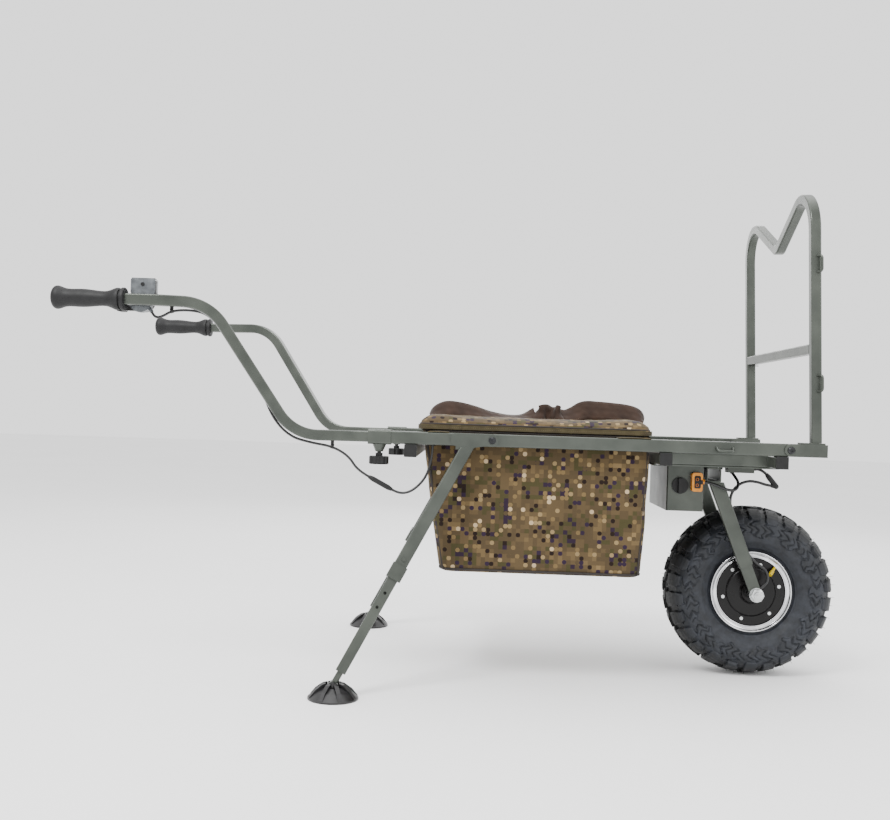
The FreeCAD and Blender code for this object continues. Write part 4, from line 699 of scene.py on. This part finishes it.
# ---- wheel -----------------------------------------------------------------------------
@dataclass
class Tyre:
    """Low-pressure off-road tyre: carcass, tread lugs, shoulder lugs and vent hairs."""
    centre: Point = (0.6135, 0.0, 0.18)
    lug_height: float = 7.0 * MM
    lugs: int = 26
    around: int = 416
    fine: int = 92
    block_height: float = 4.0 * MM
    groove: float = 0.055
    zigzag: float = 3.4 * MM
    # half of the section over the lugs, as distance across and radius, from the crown to the bead
    section: list[tuple[float, float]] = field(default_factory=lambda: [
        (0, 180), (12, 179.2), (25, 176.6), (34, 174.2), (40, 172), (47, 168.8), (54, 165), (60, 158.5),
        (63.5, 150),
        (65.4, 140), (66, 130), (64.2, 117), (60, 106), (52.5, 94.5), (45, 87.5), (45, 78.6), (43.9, 76.4)])

    def outside(self, across: float) -> tuple[float, float]:
        """Section point and outward distance at a length along the half section, measured from the crown."""
        places = [(a * MM, r * MM) for a, r in self.section]
        left = across
        for first, second in zip(places, places[1:]):
            step = math.dist(first, second)
            if left <= step:
                share = left / step
                return (first[0] + (second[0] - first[0]) * share, first[1] + (second[1] - first[1]) * share)
            left -= step
        return places[-1]

    def at(self, angle: float, across: float, radius: float) -> Vector:
        """A point of the tyre from its angle round the wheel."""
        return Vector((self.centre[0] + radius * math.cos(angle), across,
                       self.centre[2] + radius * math.sin(angle)))

    def relief(self, angle: float, along: float) -> float:
        """Height of the moulded pattern on the sidewall: flat blocks parted by crooked grooves.

        Args:
            angle: angle round the wheel.
            along: length along the section from the crown.

        Returns:
            The height in metres.
        """
        turn = angle * self.lugs / (2 * math.pi)
        wander = crumple(Vector((turn * 0.7, along * 60, 0)), 1, 2.2)
        crooked = 0.16 * math.asin(math.sin(along / self.zigzag)) + 0.3 * wander
        share = (turn + crooked) % 1.0
        half_share = (2 * turn + 1.3 * crooked + 0.2) % 1.0
        inner_edge = 0.104 + 0.005 * math.asin(math.sin(turn * math.pi)) + 0.002 * math.sin(turn * 9.3)
        level = max(0.0, min(1.0, (inner_edge - along) / 0.0022))
        groove = 1.0 if min(share, 1 - share) < self.groove else 0.0
        if along > 0.082 and min(half_share, 1 - half_share) < 0.07:
            groove = 1.0
        return self.block_height * level * (1 - groove)

    def carcass(self) -> bpy.types.Object:
        """The tyre under its lugs, with its moulded sidewall, two rings at the bead and an inner wall."""
        total = sum(math.dist(a, b) for a, b in zip(self.section, self.section[1:])) * MM
        side = []
        for k in range(self.fine + 1):
            along = total * k / self.fine
            across, radius = self.outside(along)
            after, before = self.outside(min(total, along + 1 * MM)), self.outside(max(0.0, along - 1 * MM))
            slope = Vector((after[0] - before[0], after[1] - before[1])).normalized()
            out = Vector((-slope.y, slope.x))
            out = -out if out.x * across + out.y < 0 and across < 0.04 else out
            sunk = self.lug_height * max(0.0, min(1.0, (radius / MM - 142) / 16)) + 3.4 * MM
            ridge = 1.4 * MM if 0.137 < along < 0.1395 or 0.144 < along < 0.1455 else 0.0
            side.append((along, across - out.x * (sunk - ridge), radius - out.y * (sunk - ridge), out))
        inner = [(40, 84), (44, 92), (52, 108), (55, 128), (53, 140), (42, 157), (22, 165), (0, 166)]
        count = 2 * len(side) - 1 + 2 * len(inner) - 1
        points, faces = [], []
        for k in range(self.around):
            angle = 2 * math.pi * k / self.around
            for row in side:
                lift = self.relief(angle, row[0])
                points.append(self.at(angle, row[1] + row[3].x * lift, row[2] + row[3].y * lift))
            points += [self.at(angle, a * MM, r * MM) for a, r in inner]
            points += [self.at(angle, -a * MM, r * MM) for a, r in reversed(inner[:-1])]
            for row in reversed(side[1:]):
                lift = self.relief(angle + 0.11, row[0])
                points.append(self.at(angle, -row[1] - row[3].x * lift, row[2] + row[3].y * lift))
        for k in range(self.around):
            after = (k + 1) % self.around
            faces += [(k * count + j, k * count + (j + 1) % count, after * count + (j + 1) % count,
                       after * count + j)
                      for j in range(count)]
        return mesh_piece("tyre_carcass", points, faces)

    def lug(self, name: str, outline: list[tuple[float, float, float]], side: int) -> bpy.types.Object:
        """One lug about the wheel's axis at the origin.

        Args:
            name: the object's name.
            outline: rows of length along the section, and the two edges along the tread, in millimetres.
            side: 1 or -1 for the tyre's side.

        Returns:
            The lug, on the +X side of the axis.
        """
        rows = []
        for along, low, high in outline:
            across, radius = self.outside(along * MM)
            fade = self.lug_height * max(0.35, min(1.0, (radius / MM - 138) / 22))
            lean = min(1.0, across / 0.07)
            under = (across - fade * lean * 0.6 - 1 * MM * lean, radius - fade - 1.5 * MM)
            rows.append([(under, low - 1.2), ((across, radius), low), ((across, radius), high),
                         (under, high + 1.2)])
        points, faces = [], []
        for row in rows:
            for (across, radius), length in row:
                angle = length * MM / radius
                points.append((radius * math.cos(angle), side * across, radius * math.sin(angle)))
        for k in range(len(rows) - 1):
            for j in range(4):
                faces.append((4 * k + j, 4 * k + (j + 1) % 4, 4 * k + 4 + (j + 1) % 4, 4 * k + 4 + j))
        faces += [(0, 1, 2, 3), tuple(4 * (len(rows) - 1) + j for j in range(4))]
        made = mesh_piece(name, points, faces, smooth=False)
        soften(made, 0.9 * MM)
        return made

    def build(self) -> None:
        """Make the tyre's pieces."""
        tree = wheel_copies_tree()
        rubber = Coat.TYRE.made()
        carcass = finish_piece(self.carcass(), rubber, "wheel")
        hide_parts("tyre")
        share = 2 * math.pi / self.lugs
        shoulder = [(22, -12, 10), (30, -13, 13), (40, -15, 12), (50, -13, 13), (60, -14, 12), (68, -12, 13),
                    (75, -10, 9)]
        shoulder_short = [(27, -11, 11), (38, -12, 13), (48, -14, 12), (58, -12, 13), (66, -11, 8)]
        middle = [(2, -2, 16), (9, -6, 13), (15, -10, 9), (19, -12, 5)]
        for side, label in ((1, "left"), (-1, "right")):
            for name, outline, start, count in (("long_lugs", shoulder, 0.0, self.lugs // 2),
                                                ("short_lugs", shoulder_short, 1.0, self.lugs // 2),
                                                ("middle_lugs", middle, 0.15, self.lugs)):
                made = self.lug(f"{label}_{name}", outline, side)
                shift = start + (0.5 if side < 0 else 0.0)
                made = nodes_piece(made, tree, {"Count": count, "Centre": self.centre, "Start": share * shift,
                                                "Jitter": share * 0.06, "Seed": 7, "Material": rubber})
                finish_piece(made, rubber, "wheel")
        for side, label in ((1, "left"), (-1, "right")):
            hair = mesh_piece(f"{label}_vent_hairs",
                              [(0.170, side * 0.0400, -0.0005), (0.170, side * 0.0400, 0.0005),
                               (0.1705, side * 0.0410, 0), (0.1790, side * 0.0440, 0)],
                              [(0, 1, 2), (0, 1, 3), (1, 2, 3), (2, 0, 3)])
            hair = nodes_piece(hair, tree, {"Count": 52, "Centre": self.centre, "Start": 0.03, "Jitter": 0.04,
                                            "Seed": 11, "Material": rubber})
            finish_piece(hair, rubber, "wheel")


@dataclass
class Rim:
    """Chromed rim lip: a rolled edge, a hollow dish and a bead round the cover."""
    centre: Point = (0.6135, 0.0, 0.18)
    around: int = 160
    # radius and distance across, from under the tyre's bead, over the rolled edge, down into the dish
    lip: list[tuple[float, float]] = field(default_factory=lambda: [
        (76.5, 30), (76.5, 43.6), (78.8, 45.3), (85.0, 46.2), (86.0, 47.4), (86.2, 48.6), (85.6, 49.6),
        (84.6, 50.0),
        (83.5, 49.7), (82.7, 48.9), (82.0, 47.4), (80.6, 46.2), (78.6, 45.2), (76.6, 44.9), (75.4, 45.3),
        (74.6, 46.2), (73.8, 46.6), (73.0, 46.2), (72.6, 45.0), (72.5, 43.0), (72.5, 39.0), (71.0, 37.9)])

    def build(self) -> None:
        """Make the two lips and the barrel between them."""
        profile = self.lip + [(r, -y) for r, y in reversed(self.lip)] + [(75.0, -22), (75.0, 22)]
        rings = []
        for k in range(self.around):
            angle = 2 * math.pi * k / self.around
            rings.append([Vector((self.centre[0] + r * MM * math.cos(angle), y * MM,
                                  self.centre[2] + r * MM * math.sin(angle))) for r, y in profile])
        made = loft("rim_lips", rings + rings[:1], closed_ends=False)
        finish_piece(made, Coat.CHROME.made(), "wheel")
        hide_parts("rim")


# ---- bag -------------------------------------------------------------------------------
@dataclass
class Bag:
    """Sewn pouch, its padded lid, bindings, zip, flaps and carrying strap."""
    bottom: float = 0.224
    top: float = 0.5045
    low_x: tuple[float, float] = (-0.048, 0.354)
    high_x: tuple[float, float] = (-0.09, 0.364)
    low_y: float = 0.214
    high_y: float = 0.227
    corner: float = 0.024
    wall: float = 0.004
    count: int = 288
    rows: int = 46
    lid_x: tuple[float, float] = (-0.098, 0.366)
    lid_y: float = 0.229
    lid_low: float = 0.506
    strap_y: float = -0.073
    # how far the hanging cloth stands out: broad bulges, small creases, slanting folds and an even part
    bulge: float = 3.4 * MM
    crease: float = 1.6 * MM
    fold: float = 2.4 * MM
    slack: float = 1.0 * MM
    # height and reach of the lid's padding behind its hem, and how much its two ends rise
    pad_height: float = 0.0155
    pad_reach: float = 0.018
    end_rise: float = 7.0 * MM

    def section(self, share: float, inset: float = 0.0) -> list[tuple[float, float]]:
        """Level outline of the pouch at a share of its height."""
        x = [a + (b - a) * share for a, b in zip(self.low_x, self.high_x)]
        y = self.low_y + (self.high_y - self.low_y) * share
        return rounded_outline((x[0] + inset, x[1] - inset), y - inset, self.corner, self.count)

    def sag(self, point: Vector, share: float, outwards: Vector) -> Vector:
        """Folds and sag of the hanging cloth, nought at the zip."""
        loose = math.sin(math.pi * min(1.0, share * 1.02)) ** 0.7 if 0 < share < 1 else 0.0
        size = self.bulge * crumple(point, 0.13, 3.1) + self.crease * crumple(point, 0.045, 9.7)
        slant = Vector((point.x + 0.7 * point.z, point.y, 0.2 * point.z))
        upright = crumple(slant, 0.06, 5.3)
        return point + outwards * (loose * (size + self.fold * upright + self.slack))

    def pouch(self) -> bpy.types.Object:
        """Outer wall, top edge, inner wall and floor as one closed shell."""
        rings = []
        height = self.top - self.bottom
        middle = Vector(((self.low_x[0] + self.low_x[1]) / 2, 0, 0))
        for inset in (0.17, 0.12, 0.07, 0.03, 0.012):
            rings.append([Vector((x, y, self.bottom - 2.5 * MM * min(1.0, inset / 0.07)))
                          for x, y in self.section(0.0, inset)])
        for k in range(self.rows + 1):
            share = k / self.rows
            tuck = 0.006 * max(0.0, 1 - share * height / 0.010)
            ring = []
            for x, y in self.section(share, tuck):
                point = Vector((x, y, self.bottom + height * share))
                outwards = Vector((x, y, 0)) - middle
                outwards = Vector((outwards.x * 0.8, outwards.y, 0)).normalized()
                ring.append(self.sag(point, share, outwards))
            rings.append(ring)
        for share in (1.0, 0.9, 0.6, 0.3, 0.03):
            inside = self.section(share, self.wall + 0.003)
            rings.append([Vector((x, y, self.bottom + height * share)) for x, y in inside])
        rings.append([Vector((x, y, self.bottom + 0.006)) for x, y in self.section(0.02, 0.1)])
        return loft("bag_pouch", rings)

    def lid(self) -> bpy.types.Object:
        """Padded lid: a flange, a crowned top that is pulled in at its hem, and a flat underside."""
        rings = []
        steps = [(0.17, 0.0), (0.08, 0.0), (0.004, 0.0), (0.0, 0.003), (0.0, 0.009), (0.003, 0.011)]
        for inset, rise in steps:
            rings.append([Vector((x, y, self.lid_low + rise)) for x, y in self.lid_outline(inset)])
        for k in range(1, 30):
            inset = 0.003 + 0.205 * (k / 29) ** 1.4
            puff = self.pad_height * (1 - math.exp(-inset / self.pad_reach)) + 0.012
            ring = []
            for x, y in self.lid_outline(inset):
                point = Vector((x, y, self.lid_low + puff))
                end = abs((x - (self.lid_x[0] + self.lid_x[1]) / 2) / ((self.lid_x[1] - self.lid_x[0]) / 2))
                wave = 2.2 * MM * crumple(point, 0.07, 1.9) + 1.0 * MM * crumple(point, 0.025, 4.4)
                point.z += (wave + self.end_rise * end ** 3) * min(1.0, inset / 0.02)
                ring.append(point)
            rings.append(ring)
        return loft("bag_lid_pad", rings)

    def lid_outline(self, inset: float) -> list[tuple[float, float]]:
        """Level outline of the lid."""
        return rounded_outline((self.lid_x[0] + inset, self.lid_x[1] - inset), self.lid_y - inset, 0.026,
                               self.count)

    def ribbon(self, name: str, stations: list[tuple[float, float, float, float]], width: float,
               thick: float = 1.8 * MM, across: int = 6, fine: int = 10) -> tuple[bpy.types.Object, float]:
        """Flat strap that follows stations and tips on edge as they say.

        Args:
            name: the piece's name.
            stations: X, Y and Z of the middle, and the strap's tilt in degrees.
            width: the strap's width.
            thick: its thickness.
            across: faces over its width.
            fine: steps between stations.

        Returns:
            The strap, with a UV map in metres, and its length.
        """
        smooth = []
        knots = [stations[0]] + stations + [stations[-1]]
        for k in range(len(stations) - 1):
            a, b, c, d = knots[k:k + 4]
            for j in range(fine):
                t = j / fine
                smooth.append([0.5 * (2 * q + (r - p) * t + (2 * p - 5 * q + 4 * r - s) * t * t
                                      + (3 * q - p - 3 * r + s) * t ** 3) for p, q, r, s in zip(a, b, c, d)])
        smooth.append(list(stations[-1]))
        middles = [Vector(s[:3]) for s in smooth]
        points, places, length = [], [], 0.0
        for k, station in enumerate(smooth):
            along = (middles[min(k + 1, len(middles) - 1)] - middles[max(k - 1, 0)]).normalized()
            flat = Vector((0, 0, 1)).cross(along)
            flat = flat.normalized() if flat.length > 1e-6 else Vector((0, 1, 0))
            side = (Matrix.Rotation(math.radians(station[3]), 3, along) @ flat).normalized()
            normal = along.cross(side).normalized()
            if k:
                length += (middles[k] - middles[k - 1]).length
            for layer in (0.5, -0.5):
                for j in range(across + 1):
                    share = j / across - 0.5
                    cup = 0.8 * MM * (1 - 4 * share * share)
                    points.append(middles[k] + side * (width * share) + normal * (thick * layer + cup))
                    places.append((length, width * share))
        row, faces = 2 * (across + 1), []
        for k in range(len(smooth) - 1):
            a, b = k * row, (k + 1) * row
            for j in range(across):
                faces.append((a + j, a + j + 1, b + j + 1, b + j))
                faces.append((a + across + 1 + j, b + across + 1 + j, b + across + 2 + j, a + across + 2 + j))
            faces.append((a, b, b + across + 1, a + across + 1))
            faces.append((a + across, a + row - 1, b + row - 1, b + across))
        last = (len(smooth) - 1) * row
        for start in (0, last):
            faces += [(start + j, start + j + 1, start + across + 2 + j,
                       start + across + 1 + j) for j in range(across)]
        made = mesh_piece(name, points, faces)
        layer = made.data.uv_layers.new(name="length_and_width")
        lookup = {tuple(round(c, 6) for c in p): uv for p, uv in zip(points, places)}
        for loop in made.data.loops:
            key = tuple(round(c, 6) for c in made.data.vertices[loop.vertex_index].co)
            layer.data[loop.index].uv = lookup.get(key, (0.0, 0.0))
        return made, length

    def strap(self, tree: bpy.types.NodeTree) -> None:
        """The loose carrying strap in two waves with a gather between them, and its stitches."""
        y = self.strap_y
        left = [(-0.082, y, 0.5345, 10), (-0.068, y, 0.541, 42), (-0.047, y, 0.5485, 55),
                (-0.022, y, 0.5475, 55),
                (0.010, y, 0.5425, 46), (0.045, y, 0.5365, 30), (0.085, y, 0.5345, 16),
                (0.115, y, 0.5355, 20),
                (0.142, y, 0.543, 45)]
        right = [(0.188, y, 0.542, 42), (0.205, y, 0.540, 40), (0.224, y, 0.545, 50), (0.246, y, 0.5545, 62),
                 (0.275, y, 0.5545, 62), (0.305, y, 0.553, 60), (0.334, y, 0.5505, 58),
                 (0.356, y, 0.5455, 48),
                 (0.370, y, 0.5355, 20)]
        gather = [(0.136, y + 0.004, 0.540, 30), (0.152, y - 0.008, 0.5455, 66),
                  (0.164, y + 0.004, 0.548, 90),
                  (0.176, y + 0.008, 0.5445, 60), (0.186, y - 0.008, 0.547, 76),
                  (0.198, y - 0.003, 0.539, 30)]
        for name, stations, width in (("strap_left_wave", left, 0.040), ("strap_right_wave", right, 0.044),
                                      ("strap_gather", gather, 0.034)):
            made, length = self.ribbon(name, stations, width)
            finish_piece(made, Coat.WEBBING.made(), "bag_cover")
            if name == "strap_left_wave":
                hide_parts("bag_straps")
        for name, stations in (("left_wave_stitches", left), ("right_wave_stitches", right)):
            line = [Vector((s[0], s[1] - 0.017 * math.cos(math.radians(s[3])), s[2] + 0.0022
                            - 0.017 * math.sin(math.radians(s[3])))) for s in stations]
            made = path_piece(name, line, tree, 4.0 * MM, (2.4 * MM, 0.7 * MM, 0.7 * MM), Coat.THREAD)
            finish_piece(made, Coat.THREAD.made(), "bag_cover")

    def bindings(self) -> None:
        """Binding tape down the corners and round the floor and the lid."""
        corners = []
        pull = self.corner * (1 - math.sqrt(0.5))
        for end, inwards in ((0, pull), (1, -pull)):
            for sy in (-1, 1):
                line = []
                for k in range(13):
                    share = k / 12
                    x = self.low_x[end] + (self.high_x[end] - self.low_x[end]) * share
                    y = self.low_y + (self.high_y - self.low_y) * share
                    line.append((x + inwards, sy * (y - pull),
                                 self.bottom + 0.004 + (self.top - self.bottom - 0.006) * share))
                corners.append(line)
        for k, line in enumerate(corners):
            tape = settled(curve_piece(f"corner_binding_{k + 1}", line, 2.6 * MM))
            finish_piece(tape, Coat.PIPING.made(), "bag")
        for name, outline, height, body, radius in (
                ("floor_binding", self.section(0.02, 0.001), self.bottom + 0.005, "bag", 2.4 * MM),
                ("zip_tape", self.section(1.0, 0.0005), self.top - 0.0012, "bag", 2.0 * MM),
                ("lid_binding", self.lid_outline(0.003), self.lid_low + 0.0115, "bag_cover", 1.9 * MM)):
            points = [(x, y, height) for x, y in outline[::3]]
            tape = settled(curve_piece(name, points, radius, cyclic=True))
            finish_piece(tape, Coat.PIPING.made(), body)

    def hem(self, tree: bpy.types.NodeTree) -> None:
        """Webbing hem round the lid, and the zip's teeth under it."""
        outline = self.lid_outline(-0.0003)
        low, high = self.lid_low + 0.0012, self.lid_low + 0.0098
        points, places, total = [], [], 0.0
        for k, (x, y) in enumerate(outline + outline[:1]):
            if k:
                before = outline[k - 1]
                total += math.dist((x, y), before)
            for z in (low, high):
                points.append((x, y, z))
                places.append((total, z))
        data = bpy.data.meshes.new("lid_hem")
        data.from_pydata(points, [], [(2 * k, 2 * k + 2, 2 * k + 3, 2 * k + 1) for k in range(len(outline))])
        layer = data.uv_layers.new(name="length_and_width")
        for loop in data.loops:
            layer.data[loop.index].uv = places[loop.vertex_index]
        made = placed("lid_hem", data)
        thick = made.modifiers.new("webbing_thickness", "SOLIDIFY")
        thick.thickness = 1.0 * MM
        thick.offset = 1.0
        finish_piece(settled(made), Coat.HEM.made(), "bag_cover")
        teeth = path_piece("zip_teeth", [(x, y, self.top + 0.0002) for x, y in self.section(1.0, -0.001)],
                           tree,
                           2.6 * MM, (1.5 * MM, 2.4 * MM, 1.6 * MM), Coat.PIPING, closed=True)
        finish_piece(teeth, Coat.PIPING.made(), "bag")
        row = [(x, y, self.lid_low + 0.0055) for x, y in self.lid_outline(-0.0013)]
        stitches = path_piece("hem_stitches", row, tree, 4.2 * MM, (2.6 * MM, 0.6 * MM, 0.6 * MM),
                              Coat.THREAD, True)
        finish_piece(stitches, Coat.THREAD.made(), "bag_cover")

    def flaps(self) -> None:
        """Webbing flaps over the rails."""
        first = True
        for label, side in (("right", -1), ("left", 1)):
            for end, x in (("rear", -0.057), ("front", 0.325)):
                width = 0.042 if end == "rear" else 0.064
                stations = [(x, side * 0.2272, 0.5018, 0), (x, side * 0.238, 0.5018, 0),
                            (x, side * 0.25, 0.5018, 0),
                            (x, side * 0.2612, 0.5018, 0)]
                made, length = self.ribbon(f"{label}_{end}_flap", stations, width, 1.4 * MM, 8, 6)
                finish_piece(made, Coat.HEM.made(), "bag")
                if first:
                    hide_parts("bag_hangers")
                    first = False

    def build(self) -> None:
        """Make the bag's pieces."""
        tree = path_copies_tree()
        pouch = finish_piece(self.pouch(), Coat.CLOTH.made(), "bag")
        print_layout(pouch)
        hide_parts("bag_body")
        # the lid wears the pouch's print painted brighter, as a painted highlight
        lid = finish_piece(self.lid(), Coat.LIT_LID_CLOTH.made(), "bag_cover")
        print_layout(lid)
        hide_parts("bag_lid")
        self.bindings()
        self.hem(tree)
        self.flaps()
        self.strap(tree)


# ---- small trim ------------------------------------------------------------------------
@dataclass
class Trim:
    """Details too small for the CAD: the connector's sockets, the throttle's bezel, and weld beads."""
    face_y: float = -0.126
    throttle: Point = (-0.631, -0.3294, 0.735)

    def slab(self, name: str, x: tuple[float, float], z: tuple[float, float], y: tuple[float, float],
             corner: float) -> bpy.types.Object:
        """A flat block with corners rounded as seen from the side, its edges softened."""
        middle_z = (z[0] + z[1]) / 2
        front = [Vector((px, y[0], middle_z + pz)) for px, pz in rounded_outline(x, (z[1] - z[0]) / 2,
                                                                                 corner, 40)]
        made = loft(name, [front, [Vector((p.x, y[1], p.z)) for p in front]])
        soften(made, 0.3 * MM)
        return settled(made)

    def build(self) -> None:
        """Make the trim."""
        nylon = Coat.NYLON.made()
        x, y, z = self.throttle
        for name, xs, zs, ys, corner, body, slot in (
                ("connector_cavity", (0.4705, 0.4835), (0.4005, 0.4265),
                 (self.face_y - 0.0008, self.face_y + 0.001),
                 0.003, "chassis", "black_plastic"),
                ("connector_notch", (0.4815, 0.4880), (0.4090, 0.4180),
                 (self.face_y - 0.0008, self.face_y + 0.001),
                 0.001, "chassis", "black_plastic"),
                ("head_bezel", (x - 0.0185, x + 0.0275), (z + 0.0395, z + 0.0432), (y + 0.0024, y + 0.012),
                 0.0017,
                 "right_handle", "black_plastic"),
                ("head_side_bezel", (x + 0.0245, x + 0.0283), (z + 0.013, z + 0.0395),
                 (y + 0.0024, y + 0.012), 0.0017,
                 "right_handle", "black_plastic")):
            finish_piece(self.slab(name, xs, zs, ys, corner), nylon, body)
        for k, (px, pz) in enumerate(((0.4760, 0.4195), (0.4760, 0.4075))):
            ring = [(px + 0.0028 * math.cos(a * math.pi / 8), self.face_y - 0.0012,
                     pz + 0.0028 * math.sin(a * math.pi / 8))
                    for a in range(16)]
            made = settled(curve_piece(f"contact_sleeve_{k + 1}", ring, 0.0007, cyclic=True))
            finish_piece(made, Coat.COPPER.made(), "chassis")
        tree = path_copies_tree()
        beads = (("bar_cross_weld_right", (0.6685, -0.2365, 0.676), (0.6865, -0.2365, 0.676), "front_rack"),
                 ("bar_cross_weld_left", (0.6685, 0.2365, 0.676), (0.6865, 0.2365, 0.676), "front_rack"))
        for name, first, last, body in beads:
            line = [Vector(first).lerp(Vector(last), k / 8) for k in range(9)]
            made = path_piece(name, line, tree, 1.6 * MM, (2.6 * MM, 3.0 * MM, 2.4 * MM), Coat.POWDER)
            finish_piece(made, Coat.POWDER.made(), body)


# ---- CAD nodes that keep their shape ---------------------------------------------------
@dataclass
class Dressing:
    """The finish of each CAD node that stays in view."""
    rows: list[tuple[Coat, str]] = field(default_factory=lambda: [
        (Coat.POWDER, "bed_rails handle_socket_collars cross_tubes subframe_rails equipment_tray "
                      "rail_tie_loops fork_crown fork_legs battery_box right_leg_upper left_leg_upper "
                      "right_leg_lower left_leg_lower front_bar front_crossbar front_bar_bases post_tie_loops "
                      "right_handle_tube left_handle_tube"),
        (Coat.ZINC, "axle axle_nuts cover_screws wheel_bearings"), (Coat.OXIDE, "frame_bolts"),
        (Coat.COVER, "wheel_covers"), (Coat.GRIP, "right_grip left_grip"),
        (Coat.FOOT, "right_foot left_foot"),
        (Coat.NYLON, "cross_tube_caps lead_grommet charge_port throttle_lever power_button handle_clips "
                     "right_clamp_knob left_clamp_knob lead_plug lead_socket motor_lead_plug"),
        (Coat.SILVER, "throttle_housing"), (Coat.CONNECTOR, "power_connector"), (Coat.VALVE, "tyre_valve"),
        (Coat.LENS, "display_lens"), (Coat.JACKET, "controller_lead"), (Coat.CASTING, "motor_controller"),
        (Coat.WRAP, "battery_pack"), (Coat.COPPER, "stator_windings"), (Coat.IRON, "stator_core rotor")])

    def build(self) -> None:
        """Assign each node's finish."""
        for coat, names in self.rows:
            for name in names.split():
                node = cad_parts[name]
                if not node.material_slots:
                    node.data.materials.append(coat.made())
                for held in node.material_slots:
                    held.material = coat.made()
            LOG.info("dressed %s in %s", names, coat.value.name)


def corners(box: tuple) -> list[list[float]]:
    """The two corners of a box as plain numbers."""
    return [[float(c) for c in corner] for corner in box]


def main() -> None:
    """Build the looks in order."""
    logging.basicConfig(level=logging.INFO, format="%(name)s: %(message)s")
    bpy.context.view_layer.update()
    studio = Studio()
    studio.camera()
    Leads().build()
    studio.room()
    Dressing().build()
    Tyre().build()
    Rim().build()
    Bag().build()
    Trim().build()


if __name__ == "__main__":
    main()
